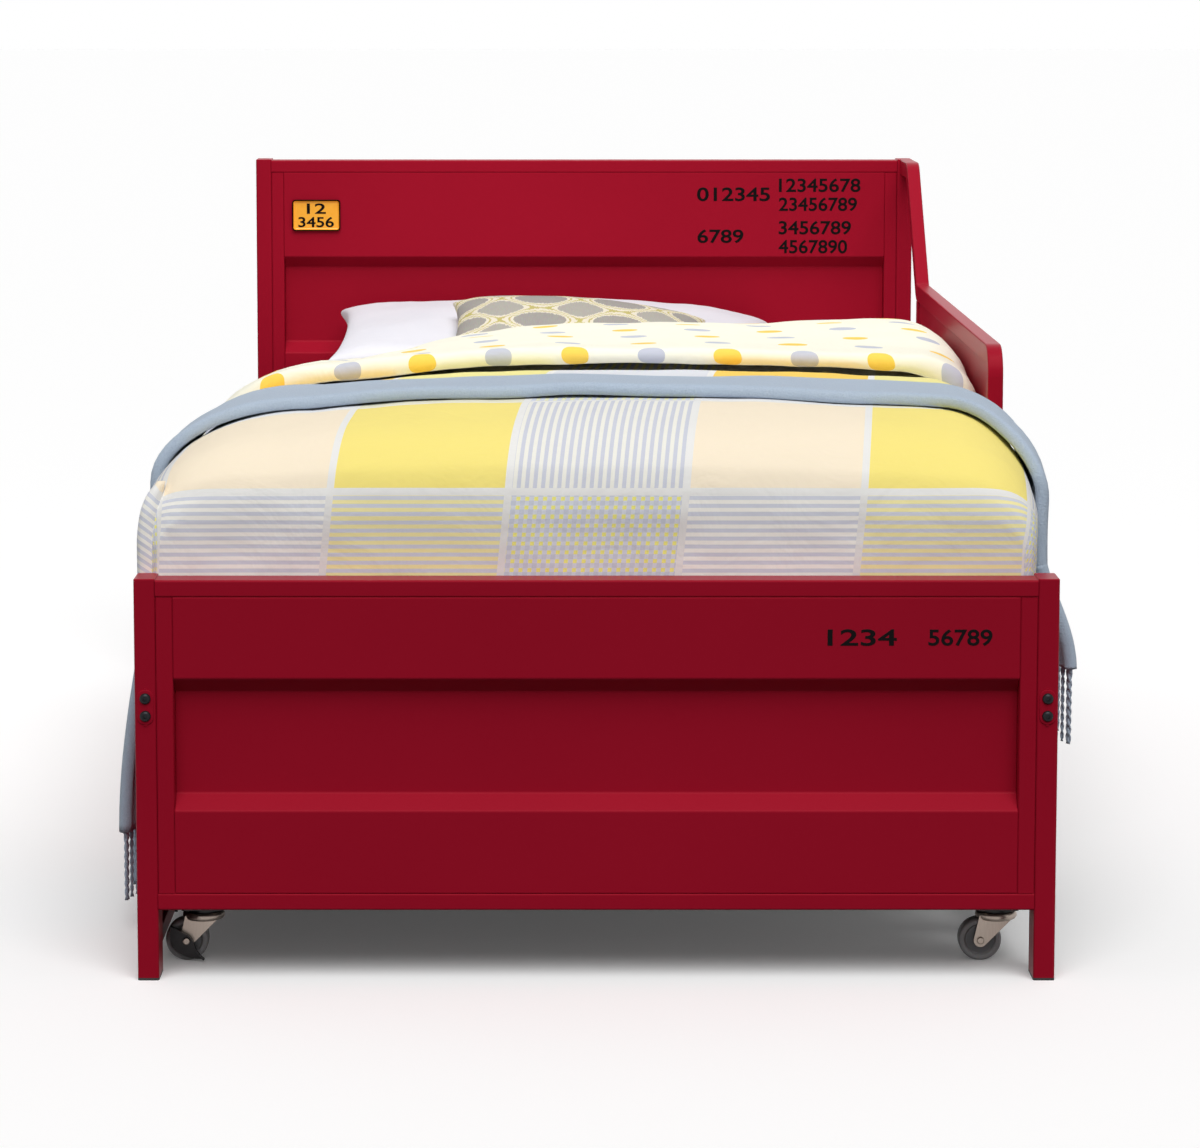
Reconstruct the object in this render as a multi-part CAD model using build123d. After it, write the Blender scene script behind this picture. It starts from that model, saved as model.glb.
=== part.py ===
from build123d import *

import os

os.makedirs("parts", exist_ok=True)

# All sizes are in millimetres. X is across the bed, Y runs from foot to head, Z is up.
# The mattress, which sets the width and length of everything else, and its room
mattress_width = 990
mattress_length = 1905
mattress_thick = 220
mattress_corner = 70
mattress_edge = 28
mattress_side_gap = 15
mattress_foot_gap = 25
mattress_head_gap = 20

# Heights of the posts
head_height = 868
foot_height = 473.5

# Rectangular tubes: face width, depth and wall of each
post_across = 25
post_deep = 50
post_wall = 2
post_corner = 3
frame_face = 20
frame_deep = 40
frame_wall = 1.5
frame_corner = 2.5
rail_across = 25
rail_tall = 60
rail_wall = 2
bar_across = 20
bar_tall = 25
bar_wall = 1.5
deck_tube = 25
deck_end_across = 50
deck_wall = 1.5
panel_tube = 20
tube_corner = 2
least_corner = 0.3

# Feet and post tops
glide_height = 3
glide_plug = 18
glide_wall = 2.5
fit_clearance = 0.3
top_step = 1.5
post_top_round = 1.5

# End frames
end_frame_bottom = 83.5

# Pressed sheet panels
sheet = 1.5
rib_slope = 18
rib_depth = 20
pan_depth = 26
rib_bend = 4
pan_edge = 0.9
rim_reach = 0.01
small_rib_depth = 9
small_pan_depth = 14
low_band_floor = (219, 339)
high_band_floor = (569.5, 691.5)
guard_band_tall = 110
trundle_band_tall = 96

# Bolts that hold the rails to the posts
bolt_height = 323.5
bolt_pitch = 20.5
bolt_radius = 4
bolt_head_radius = 6.4
bolt_head_tall = 3.6
socket_across = 5
socket_deep = 2.2
button_side = 0.25
button_shoulder = (0.8, 0.74)
button_crown = 0.45
bolt_clearance = 0.25
escutcheon_wide = 19
escutcheon_margin = 10.3
escutcheon_thick = 1.4
escutcheon_round = 0.9
nub_radius = 1.7
nub_thick = 1.1
end_plate = 3
nut_across = 13
nut_tall = 7

# Deck of the daybed
deck_top = 340
slat_across = 40
slat_tall = 20
slat_wall = 1.5
slat_count = 14
slat_end_gap = 4
slat_inset = 60
ledge_wide = 22
ledge_tall = 24
ledge_thick = 2
ledge_end_gap = 8
tie_across = 25
tie_thick = 3

# Side guard. Its front is measured from the foot end, its slope back from the head posts.
guard_front = 618
guard_level_run = 117
guard_slope_run = 195
guard_upright_gap = 3
guard_top = 687
guard_bend = 40
guard_knee = 30
guard_bolt_radius = 3
guard_bolt_head = 5.5
guard_bolt_reach = 8
guard_bolt_places = (0.1, 0.5, 0.9)

# Trundle
trundle_end_gap = 4
trundle_top_gap = 5.5
panel_bottom = 22
deck_end_gap = 33
trundle_slat_across = 40
trundle_slat_tall = 15
trundle_slat_count = 11
trundle_slat_inset = 80
strap_across = 30
strap_thick = 3
strap_run = 1500
strap_count = 4
panel_screw_radius = 2.5
panel_screw_head = 4.5
panel_screw_reach = 8

# Casters
wheel_radius = 25.5
wheel_width = 22
wheel_hub_radius = 17
wheel_dish = 2
wheel_boss_radius = 7
wheel_round = 4
caster_height = 66
caster_trail = 19.5
caster_front_inset = 48.5
caster_rear_inset = 37.5
plate_size = 50
plate_thick = 2.5
plate_corner = 4
race_radius = 19.5
crown_radius = 25
crown_top = 59
crown_low = 49
crown_low_radius = 13
crown_edge = 2
crown_skirt = 4
crown_wall = 4
leg_top_drop = 4
leg_back_depth = 4
pocket_clearance = 1
leg_gap = 26
leg_thick = 2.5
leg_boss = 8
leg_top_front = 21
leg_top_back = 17
wheel_clear = 2
kingpin_radius = 4
kingpin_head = 6.5
kingpin_head_tall = 2
axle_radius = 3
running = 0.06
axle_head = 4.4
axle_head_tall = 3
pedal_thick = 2
pedal_flange = 8
pedal_flange_thick = 1.1
pedal_line = ((-18.5, 18), (-11.7, 15.4), (-2.5, 10), (5.25, 5.25), (9, -3.5), (14.05, -13.7), (21.5, -21.5))
pedal_low_arc = (-1, -19)
pedal_low_corner = (-17.5, -7)
pedal_back_arc = (-19.5, 5)
plate_screw_pitch = 34
plate_screw_radius = 2.5
plate_screw_head = 4.2
plate_screw_head_tall = 1.6
plate_screw_reach = 8

# Bedding. The duvet's sides are set from the bed's, its heights from the mattress's top.
soft_gap = 0.4
duvet_foot_gap = 2
duvet_hem_gap = 4.5
duvet_left_proud = 3
duvet_right_inset = 13
duvet_guard_gap = 2
duvet_turn_share = 1 - 0.5 ** 0.5

# Cuts across the duvet. Each has its place from the duvet's foot end, the draw-in of its left and right
# edges, its height over the mattress at the left, middle and right, and each rounded side's width and drop.
duvet_foot_cuts = (
    (0, 26, 22, -19, -15, -20, (50, 45), (50, 50)),
    (5, 18, 14, 2, 10, 0, (75, 60), (70, 62)),
    (25, 6, 6, 28, 38, 25, (105, 75), (95, 78)),
    (73, 0, 1, 52, 65, 52, (130, 85), (110, 90)),
    (133, 0, 0, 65, 78, 66, (145, 90), (115, 92)),
    (198, 0, 0, 72, 85, 74, (155, 92), (115, 92)),
)
duvet_by_guard_cut = (0, 0, 78, 92, 82, (160, 92), (100, 80))
duvet_fold_step = 8
fold_thick = 22

# The turned-back part's cuts, placed from its near edge, with the same measures
fold_cuts = (
    (0, 0, 0, 84, 114, 103, (180, 92), (90, 68)),
    (108, 0, 0, 80, 120, 110, (200, 100), (80, 60)),
    (208, 0, 0, 74, 122, 118, (220, 105), (80, 55)),
    (408, 0, 0, 62, 112, 118, (230, 95), (80, 50)),
    (608, 0, 0, 50, 90, 100, (220, 85), (80, 50)),
    (708, 3, 0, 42, 72, 78, (200, 72), (80, 50)),
    (758, 12, 6, 26, 42, 46, (150, 54), (80, 45)),
)
fold_near_from_head = 1273
pillow_wide = 676
pillow_long = 420
pillow_thick = 97
pillow_left = 48
pillow_head_gap = 20
pad_layers = ((-0.5, 0.42), (-0.44, 0.7), (-0.3, 0.9), (0, 1), (0.3, 0.9), (0.44, 0.7), (0.5, 0.42))
pad_draw = 0.035
cushion_wide = 392
cushion_long = 196
cushion_thick = 88
cushion_left = 10
cushion_lean = 36
cushion_from_head = 508

# The throw, measured along the bed from the foot end, and its two hanging ends
throw_thick = 16
throw_near = 306
throw_far = 582
throw_near_left = 245
throw_far_left = 560
throw_near_right = 138
throw_far_right = 360
throw_side_low = 470
fall_stand = 45
fall_thick = 13
fall_mid_share = 0.7
fall_mid_wave = 7.2
fall_wave_top = 3
fall_wave_low = 9
left_fall_low = 125
left_fall_waves = 6
right_fall_low = 343
right_fall_waves = 4

# Places worked out from the sizes above
half_width = mattress_width / 2 + mattress_side_gap + rail_across
half_length = (frame_deep + mattress_foot_gap + mattress_length + mattress_head_gap + post_deep) / 2
post_x = half_width - post_across / 2
post_y = half_length - post_deep / 2
frame_half = half_width - post_across
rail_end = half_length - post_deep
rail_bottom = bolt_height - rail_tall / 2
rail_top = bolt_height + rail_tall / 2
foot_frame_top = foot_height - top_step
head_frame_top = head_height - top_step
foot_front = -half_length
head_front = half_length - post_deep
mattress_top = deck_top + mattress_thick
mattress_foot = foot_front + frame_deep + mattress_foot_gap
trundle_face = -half_width
trundle_back = half_width - panel_tube
panel_inner = trundle_face + panel_tube
deck_front = panel_inner + strap_thick
deck_half_length = rail_end - deck_end_gap
duvet_left = half_width + duvet_left_proud
duvet_right = half_width - duvet_right_inset
duvet_by_guard = half_width - bar_across - duvet_guard_gap
duvet_foot = foot_front + frame_deep + duvet_foot_gap
fold_near_y = head_front - fold_near_from_head
cushion_low_y = head_front - cushion_from_head
throw_near_y = foot_front + throw_near
throw_far_y = foot_front + throw_far
throw_near_left_y = foot_front + throw_near_left
throw_far_left_y = foot_front + throw_far_left
throw_near_right_y = foot_front + throw_near_right
throw_far_right_y = foot_front + throw_far_right
fall_reach = half_width + fall_stand


def along_x(x, y, z):
    """Plane for a tube that runs towards +X: drawn Y across and Z up."""
    return Plane(origin=(x, y, z), x_dir=(0, 1, 0), z_dir=(1, 0, 0))


def along_y(x, y, z):
    """Plane for a tube that runs towards +Y: drawn X across and Z down."""
    return Plane(origin=(x, y, z), x_dir=(1, 0, 0), z_dir=(0, 1, 0))


def tube(plane, across, tall, wall, corner, length):
    """A straight rectangular tube with rolled corners."""
    inner_corner = max(corner - wall, least_corner)
    with BuildPart() as part:
        with BuildSketch(plane):
            RectangleRounded(across, tall, corner)
            RectangleRounded(across - 2 * wall, tall - 2 * wall, inner_corner, mode=Mode.SUBTRACT)
        extrude(amount=length)
    return part.part


def bar(plane, across, tall, length):
    """A straight flat bar."""
    with BuildPart() as part:
        with BuildSketch(plane):
            Rectangle(across, tall)
        extrude(amount=length)
    return part.part


def drilled(part, spots, radius, depth, turn=Rot(0, 0, 0)):
    """The part with round holes centred on the spots, upright unless turned."""
    for spot in spots:
        part = part - Pos(*spot) * turn * Cylinder(radius, depth)
    return part


def save(name, *solids):
    """Write one sub-part, of one solid or of several alike."""
    whole = solids[0] if len(solids) == 1 else Compound(children=list(solids))
    whole.label = name
    export_step(whole, f"parts/{name}.step")


# Posts and their glides

def bolt_spots():
    return [bolt_height - bolt_pitch / 2, bolt_height + bolt_pitch / 2]


def post(x, y, height):
    """A corner post: closed rounded top, open foot, two bolt holes through its depth."""
    with BuildPart() as part:
        with BuildSketch(Plane.XY.offset(glide_height)):
            RectangleRounded(post_across, post_deep, post_corner)
        extrude(amount=height - glide_height)
        fillet(part.faces().sort_by(Axis.Z)[-1].edges(), post_top_round)
        with BuildSketch(Plane.XY.offset(glide_height)):
            RectangleRounded(post_across - 2 * post_wall, post_deep - 2 * post_wall,
                             max(post_corner - post_wall, least_corner))
        extrude(amount=height - glide_height - post_wall, mode=Mode.SUBTRACT)
        for z in bolt_spots():
            with BuildSketch(Plane(origin=(0, -post_deep / 2, z), z_dir=(0, 1, 0))):
                Circle(bolt_radius + bolt_clearance)
            extrude(amount=post_deep, mode=Mode.SUBTRACT)
    return Pos(x, y, 0) * part.part


def glide(x, y):
    """A moulded foot: a plate the size of the post and a hollow plug up inside it."""
    plug_across = post_across - 2 * post_wall - 2 * fit_clearance
    plug_deep = post_deep - 2 * post_wall - 2 * fit_clearance
    with BuildPart() as part:
        with BuildSketch():
            RectangleRounded(post_across, post_deep, post_corner)
        extrude(amount=glide_height)
        with BuildSketch(Plane.XY.offset(glide_height)):
            Rectangle(plug_across, plug_deep)
            Rectangle(plug_across - 2 * glide_wall, plug_deep - 2 * glide_wall, mode=Mode.SUBTRACT)
        extrude(amount=glide_plug)
    return Pos(x, y, 0) * part.part


# Pressed sheet panels

def pressed_pan(length, height, floors, depth, back, corner=0):
    """A sheet pan with its face towards -Y: level bands, sunk bands with sloped sides, edges folded back.

    floors lists the low and high edge of each sunk band's floor, from the pan's own lower edge.
    """
    points = [(0, 0)]
    for low, high in floors:
        points += [(0, low - rib_slope), (depth, low), (depth, high), (0, high + rib_slope)]
    points.append((0, height))
    with BuildPart() as pan:
        with BuildSketch(Plane.YZ):
            with BuildLine():
                face_line = FilletPolyline(*points, radius=rib_bend)
                Polyline(face_line @ 1, (back, height), (back, 0), face_line @ 0)
            make_face()
        extrude(amount=length / 2, both=True)
        if corner:
            high_edge = pan.edges().filter_by(Axis.Y).group_by(Axis.Z)[-1].sort_by(Axis.X)[-1]
            fillet(high_edge, corner)
        offset(amount=-sheet, openings=pan.faces().sort_by(Axis.Y)[-1])
        rim = [edge for edge in pan.edges() if on_pan_rim(edge, length, height, back)]
        chamfer(rim, pan_edge)
    return pan.part


def on_pan_rim(edge, length, height, back):
    """True for the edges where the pan's face turns back into its four flanges."""
    box = edge.bounding_box()
    if box.max.Y > back - sheet:
        return False
    at_end = abs(box.max.X + box.min.X) > length - rim_reach and box.size.X < rim_reach
    at_top_or_bottom = box.size.Z < rim_reach and (box.min.Z < rim_reach or box.max.Z > height - rim_reach)
    return at_end or at_top_or_bottom


def bands(floors, pan_bottom):
    return [(low - pan_bottom, high - pan_bottom) for low, high in floors]


def end_frame(name, front, top, floors):
    """Top and bottom rails across the bed, two stiles between them and the pan inside."""
    middle = front + frame_deep / 2
    for side, z in (("top", top - frame_face / 2), ("bottom", end_frame_bottom + frame_face / 2)):
        save(f"{name}_{side}_rail",
             tube(along_x(-frame_half, middle, z), frame_deep, frame_face, frame_wall, frame_corner,
                  2 * frame_half))
    low = end_frame_bottom + frame_face
    tall = top - frame_face - low
    stile = tube(Plane.XY, frame_face, frame_deep, frame_wall, frame_corner, tall)
    stile_x = frame_half - frame_face / 2
    save(f"{name}_stiles", *[Pos(side * stile_x, middle, low) * stile for side in (-1, 1)])
    pan = pressed_pan(2 * (frame_half - frame_face), tall, bands(floors, low), rib_depth, pan_depth)
    save(f"{name}_panel", Pos(0, front, low) * pan)


# Fasteners

def button_bolt(radius, head, head_tall, reach, socket):
    """A button-head socket bolt, head up, seated at Z = 0 with its shank below."""
    side = (head, head_tall * button_side)
    shoulder = (head * button_shoulder[0], head_tall * button_shoulder[1])
    crown = (head * button_crown, head_tall)
    with BuildPart() as part:
        with BuildSketch(Plane.XZ):
            with BuildLine():
                ThreePointArc(side, shoulder, crown)
                Polyline(crown, (0, head_tall), (0, -reach), (radius, -reach), (radius, 0), (head, 0), side)
            make_face()
        revolve(axis=Axis.Z)
        with BuildSketch(Plane.XY.offset(head_tall)):
            RegularPolygon(socket / 2, 6, major_radius=False)
        extrude(amount=-socket_deep, mode=Mode.SUBTRACT)
    return part.part


def escutcheon():
    """A raised long-hole surround in the XZ plane, its face towards -Y, with a nub above and below."""
    tall = bolt_pitch + 2 * escutcheon_margin
    with BuildPart() as part:
        with BuildSketch(Plane.XZ):
            SlotOverall(tall, escutcheon_wide, rotation=90)
            with Locations((0, -bolt_pitch / 2), (0, bolt_pitch / 2)):
                Circle(bolt_radius + bolt_clearance, mode=Mode.SUBTRACT)
        extrude(amount=escutcheon_thick)
        outer = part.faces().sort_by(Axis.Y)[0].outer_wire().edges()
        fillet(outer, escutcheon_round)
        with BuildSketch(Plane.XZ):
            with Locations((0, -tall / 2), (0, tall / 2)):
                Circle(nub_radius)
        extrude(amount=nub_thick)
    return part.part


def weld_nut():
    """A hexagon nut whose bore takes the bolt, standing on Z = 0."""
    with BuildPart() as part:
        with BuildSketch():
            RegularPolygon(nut_across / 2, 6, major_radius=False)
            Circle(bolt_radius + running, mode=Mode.SUBTRACT)
        extrude(amount=nut_tall)
    return part.part


def rail_joints():
    """The bolts, escutcheons, end plates and nuts where each rail meets a post."""
    reach = post_deep + end_plate + nut_tall + escutcheon_thick
    bolt = button_bolt(bolt_radius, bolt_head_radius, bolt_head_tall, reach, socket_across)
    surround = escutcheon()
    nut = weld_nut()
    with BuildPart() as plate:
        with BuildSketch(Plane.XZ):
            RectangleRounded(rail_across, rail_tall, tube_corner)
            with Locations((0, -bolt_pitch / 2), (0, bolt_pitch / 2)):
                Circle(bolt_radius + bolt_clearance, mode=Mode.SUBTRACT)
        extrude(amount=-end_plate)
    bolts, surrounds, plates, nuts = [], [], [], []
    for side in (-1, 1):
        for end in (-1, 1):
            turn = Rot(0, 0, 0) if end < 0 else Rot(0, 0, 180)
            corner = Pos(side * post_x, end * half_length, 0) * turn
            surrounds.append(corner * Pos(0, 0, bolt_height) * surround)
            plates.append(corner * Pos(0, post_deep, bolt_height) * plate.part)
            for z in bolt_spots():
                bolts.append(corner * Pos(0, -escutcheon_thick, z) * Rot(90, 0, 0) * bolt)
                nuts.append(corner * Pos(0, post_deep + end_plate, z) * Rot(-90, 0, 0) * nut)
    save("rail_bolts", *bolts)
    save("bolt_escutcheons", *surrounds)
    save("rail_end_plates", *plates)
    save("rail_nuts", *nuts)


# Deck of the daybed

def deck():
    """Side rails, the ledges on their inner faces, the slats across them and the tie bar below."""
    run = 2 * (rail_end - end_plate)
    rails = [tube(along_y(side * (half_width - rail_across / 2), -run / 2, bolt_height),
                  rail_across, rail_tall, rail_wall, tube_corner, run) for side in (-1, 1)]
    save("side_rail_left", rails[0])
    save("side_rail_right", drilled(rails[1], guard_bolt_spots(rail_top), guard_bolt_radius + bolt_clearance,
                                    2 * bar_tall))

    rail_face = half_width - rail_across
    slat_bottom = deck_top - slat_tall
    ledge_run = 2 * (rail_end - ledge_end_gap)
    with BuildPart() as ledge:
        with BuildSketch(Plane(origin=(0, -ledge_run / 2, 0), x_dir=(-1, 0, 0), z_dir=(0, 1, 0))):
            with BuildLine():
                Polyline((-rail_face, slat_bottom), (-rail_face, slat_bottom - ledge_tall),
                         (ledge_thick - rail_face, slat_bottom - ledge_tall),
                         (ledge_thick - rail_face, slat_bottom - ledge_thick),
                         (ledge_wide - rail_face, slat_bottom - ledge_thick),
                         (ledge_wide - rail_face, slat_bottom), close=True)
            make_face()
        extrude(amount=ledge_run)
    save("slat_ledges", ledge.part, ledge.part.mirror(Plane.YZ))

    half_slat = rail_face - slat_end_gap
    first = slat_inset - rail_end + slat_across / 2
    step = -2 * first / (slat_count - 1)
    slat = tube(along_x(-half_slat, 0, deck_top - slat_tall / 2), slat_across, slat_tall, slat_wall,
                tube_corner, 2 * half_slat)
    save("daybed_slats", *[Pos(0, first + step * index, 0) * slat for index in range(slat_count)])
    tie_start = first - slat_across / 2
    save("slat_tie_bar", bar(along_y(0, tie_start, slat_bottom - tie_thick / 2), tie_across, tie_thick,
                             -2 * tie_start))


# Side guard on the right

def guard_run():
    """Where the guard's bottom rail starts, and how long it is."""
    start = foot_front + guard_front + bar_tall
    return start, guard_slope_spots()[0] - guard_upright_gap - bar_tall - start


def guard_slope_spots():
    """Where the bar's slope begins and ends along the bed."""
    high = rail_end - guard_level_run
    return high - guard_slope_run, high


def guard_bolt_spots(z):
    start, run = guard_run()
    return [(half_width - bar_across / 2, start + run * place, z) for place in guard_bolt_places]


def guard():
    """The bent bar from the head post to the front corner, the rear upright, bottom rail and panel."""
    x = half_width - bar_across / 2
    mid = bar_tall / 2
    front_y = foot_front + guard_front
    low_y, high_y = guard_slope_spots()
    back_y = low_y - guard_upright_gap
    path_points = [(front_y + mid, rail_top), (front_y + mid, guard_top - mid), (low_y, guard_top - mid),
                   (high_y, head_height - mid), (rail_end, head_height - mid)]
    with BuildPart() as bent:
        with BuildLine(Plane.YZ.offset(x)) as path:
            FilletPolyline(*path_points, radius=[guard_bend - mid, guard_knee, guard_knee])
        with BuildSketch(Plane(origin=(x, front_y + mid, rail_top))):
            RectangleRounded(bar_across, bar_tall, tube_corner)
            RectangleRounded(bar_across - 2 * bar_wall, bar_tall - 2 * bar_wall,
                             max(tube_corner - bar_wall, least_corner), mode=Mode.SUBTRACT)
        sweep(path=path.wires()[0])
    save("guard_bar", bent.part)

    under_bar = guard_top - bar_tall
    save("guard_rear_upright",
         tube(Plane(origin=(x, back_y - mid, rail_top)), bar_across, bar_tall, bar_wall, tube_corner,
              under_bar - rail_top))
    start, run = guard_run()
    bottom_rail = tube(along_y(x, start, rail_top + mid), bar_across, bar_tall, bar_wall, tube_corner, run)
    save("guard_bottom_rail",
         drilled(bottom_rail, guard_bolt_spots(rail_top), guard_bolt_radius + bolt_clearance, bar_tall))

    low = rail_top + bar_tall
    tall = under_bar - low
    middle = tall / 2
    floors = [(middle - guard_band_tall / 2, middle + guard_band_tall / 2)]
    pan = pressed_pan(run, tall, floors, small_rib_depth, small_pan_depth,
                      corner=guard_bend - bar_tall + fit_clearance)
    pan_x = x - small_pan_depth / 2
    save("guard_panel", Pos(pan_x, (front_y + back_y) / 2, low) * Rot(0, 0, -90) * pan)

    reach = bar_wall + guard_bolt_reach
    screw = button_bolt(guard_bolt_radius, guard_bolt_head, guard_bolt_head / 2, reach,
                        guard_bolt_radius)
    save("guard_bolts", *[Pos(*spot) * screw for spot in guard_bolt_spots(rail_top + bar_wall)])


# Trundle

def trundle_panel():
    """The front panel: four tubes round a pressed sheet, on upright straps with their screws."""
    top = rail_bottom - trundle_top_gap
    half = rail_end - trundle_end_gap
    middle = trundle_face + panel_tube / 2
    rail_heights = {"top": top - panel_tube / 2, "bottom": panel_bottom + panel_tube / 2}
    strap_step = strap_run / (strap_count - 1)
    strap_spots = [strap_step * index - strap_run / 2 for index in range(strap_count)]
    screw = button_bolt(panel_screw_radius, panel_screw_head, panel_screw_head / 2,
                        strap_thick + panel_screw_reach, panel_screw_radius)
    hole = panel_screw_radius + bolt_clearance
    across = Rot(0, 90, 0)
    for side, z in rail_heights.items():
        rail = tube(along_y(middle, -half, z), panel_tube, panel_tube, frame_wall, tube_corner, 2 * half)
        save(f"trundle_panel_{side}_rail",
             drilled(rail, [(panel_inner, y, z) for y in strap_spots], hole, panel_tube, across))
    low = panel_bottom + panel_tube
    tall = top - panel_tube - low
    stile = tube(Plane.XY, panel_tube, panel_tube, frame_wall, tube_corner, tall)
    save("trundle_panel_stiles",
         *[Pos(middle, side * (half - panel_tube / 2), low) * stile for side in (-1, 1)])
    floors = [(tall / 2 - trundle_band_tall / 2, tall / 2 + trundle_band_tall / 2)]
    pan = pressed_pan(2 * (half - panel_tube), tall, floors, small_rib_depth, small_pan_depth)
    save("trundle_panel_sheet", Pos(trundle_face, 0, low) * Rot(0, 0, -90) * pan)

    strap = bar(Plane(origin=(panel_inner + strap_thick / 2, 0, panel_bottom)), strap_thick, strap_across,
                top - panel_bottom)
    strap = drilled(strap, [(deck_front, 0, z) for z in rail_heights.values()], hole, panel_tube, across)
    save("trundle_panel_straps", *[Pos(0, y, 0) * strap for y in strap_spots])
    save("trundle_panel_screws",
         *[Pos(deck_front, y, z) * across * screw for y in strap_spots for z in rail_heights.values()])


def caster_spots():
    """The swivel axis of each caster, under the corners of the deck."""
    y = deck_half_length - plate_size / 2
    left = panel_inner + caster_front_inset
    right = trundle_back - caster_rear_inset
    return {"foot_left": (left, -y), "foot_right": (right, -y), "head_left": (left, y),
            "head_right": (right, y)}


def plate_screw_spots(z):
    half = plate_screw_pitch / 2
    return [(x + dx, y + dy, z) for x, y in caster_spots().values() for dx in (-half, half)
            for dy in (-half, half)]


def trundle_deck():
    """The rolling deck: front and rear rails, wide end rails over the casters and cross slats."""
    z = caster_height + deck_tube / 2
    hole = plate_screw_radius + bolt_clearance
    spots = plate_screw_spots(caster_height)
    for name, x in (("front", deck_front + deck_tube / 2), ("rear", trundle_back - deck_tube / 2)):
        rail = tube(along_y(x, -deck_half_length, z), deck_tube, deck_tube, deck_wall, tube_corner,
                    2 * deck_half_length)
        save(f"trundle_deck_{name}_rail", drilled(rail, spots, hole, deck_tube))
    start = deck_front + deck_tube
    length = trundle_back - deck_tube - start
    end_y = deck_half_length - deck_end_across / 2
    ends = [tube(along_x(start, side * end_y, z), deck_end_across, deck_tube, deck_wall, tube_corner, length)
            for side in (-1, 1)]
    save("trundle_deck_end_rails", *[drilled(end, spots, hole, deck_tube) for end in ends])

    first = trundle_slat_inset - deck_half_length + deck_end_across
    step = -2 * first / (trundle_slat_count - 1)
    slat_z = caster_height + deck_tube - trundle_slat_tall / 2
    slat = tube(along_x(start, 0, slat_z), trundle_slat_across, trundle_slat_tall, slat_wall, tube_corner,
                length)
    save("trundle_slats", *[Pos(0, first + step * index, 0) * slat for index in range(trundle_slat_count)])


# Casters

def wheel():
    """A dished wheel with a rounded tread, turning about Y, centred on the origin."""
    half = wheel_width / 2
    boss_half = leg_gap / 2 - fit_clearance
    bore = axle_radius + running
    with BuildPart() as part:
        with BuildSketch(Plane.XY):
            with BuildLine():
                Polyline((bore, -boss_half), (wheel_boss_radius, -boss_half),
                         (wheel_boss_radius, wheel_dish - half), (wheel_hub_radius, wheel_dish - half),
                         (wheel_hub_radius + wheel_dish, -half), (wheel_radius - wheel_round, -half))
                RadiusArc((wheel_radius - wheel_round, -half), (wheel_radius, wheel_round - half),
                          -wheel_round)
                Line((wheel_radius, wheel_round - half), (wheel_radius, half - wheel_round))
                RadiusArc((wheel_radius, half - wheel_round), (wheel_radius - wheel_round, half),
                          -wheel_round)
                Polyline((wheel_radius - wheel_round, half), (wheel_hub_radius + wheel_dish, half),
                         (wheel_hub_radius, half - wheel_dish), (wheel_boss_radius, half - wheel_dish),
                         (wheel_boss_radius, boss_half), (bore, boss_half), (bore, -boss_half))
            make_face()
        revolve(axis=Axis.Y)
    return part.part


def fork():
    """A swivel fork about the Z axis: domed crown, wheel well, two swept legs, kingpin pocket."""
    pocket_top = crown_top - crown_wall
    skirt = (crown_low_radius + crown_skirt, crown_low + pocket_clearance)
    leg_top = crown_top - leg_top_drop
    with BuildPart() as part:
        with BuildSketch(Plane.XZ):
            with BuildLine():
                Line((0, crown_top), (crown_radius - crown_edge, crown_top))
                ThreePointArc((crown_radius - crown_edge, crown_top), (crown_radius, pocket_top), skirt)
                Polyline(skirt, (crown_low_radius, crown_low), (0, crown_low), (0, crown_top))
            make_face()
        revolve(axis=Axis.Z)
        for side in (-1, 1):
            outer = side * (leg_gap / 2 + leg_thick)
            with BuildSketch(Plane.XZ.offset(-outer)):
                with BuildLine():
                    CenterArc((-caster_trail, wheel_radius), leg_boss, 0, 360)
                    Line((-leg_top_front, leg_top), (leg_top_back, leg_top))
                    Line((leg_top_back, leg_top), (leg_top_back, leg_top - leg_back_depth))
                make_hull()
            extrude(amount=side * leg_thick)
        with Locations((-caster_trail, 0, wheel_radius)):
            Cylinder(wheel_radius + wheel_clear, leg_gap, rotation=(90, 0, 0), mode=Mode.SUBTRACT)
            Cylinder(axle_radius + running, 2 * crown_radius, rotation=(90, 0, 0), mode=Mode.SUBTRACT)
        with BuildSketch(Plane.XY.offset(crown_low)):
            Circle(kingpin_head + pocket_clearance)
        extrude(amount=pocket_top - crown_low, mode=Mode.SUBTRACT)
        with BuildSketch(Plane.XY.offset(pocket_top)):
            Circle(kingpin_radius + running)
        extrude(amount=crown_top - pocket_top, mode=Mode.SUBTRACT)
    return part.part


def caster_plate():
    """The screwed plate with its upper race and the kingpin that carries the fork."""
    under = caster_height - plate_thick
    race_low = crown_top + fit_clearance
    head_top = crown_top - crown_wall - fit_clearance
    with BuildPart() as part:
        with BuildSketch(Plane.XY.offset(under)):
            RectangleRounded(plate_size, plate_size, plate_corner)
            with GridLocations(plate_screw_pitch, plate_screw_pitch, 2, 2):
                Circle(plate_screw_radius + bolt_clearance, mode=Mode.SUBTRACT)
        extrude(amount=plate_thick)
        with BuildSketch(Plane.XY.offset(race_low)):
            Circle(race_radius)
        extrude(amount=under - race_low)
        with BuildSketch(Plane.XY.offset(head_top)):
            Circle(kingpin_radius)
        extrude(amount=race_low - head_top)
        with BuildSketch(Plane.XY.offset(head_top)):
            Circle(kingpin_head)
        extrude(amount=-kingpin_head_tall)
    return part.part


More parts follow.
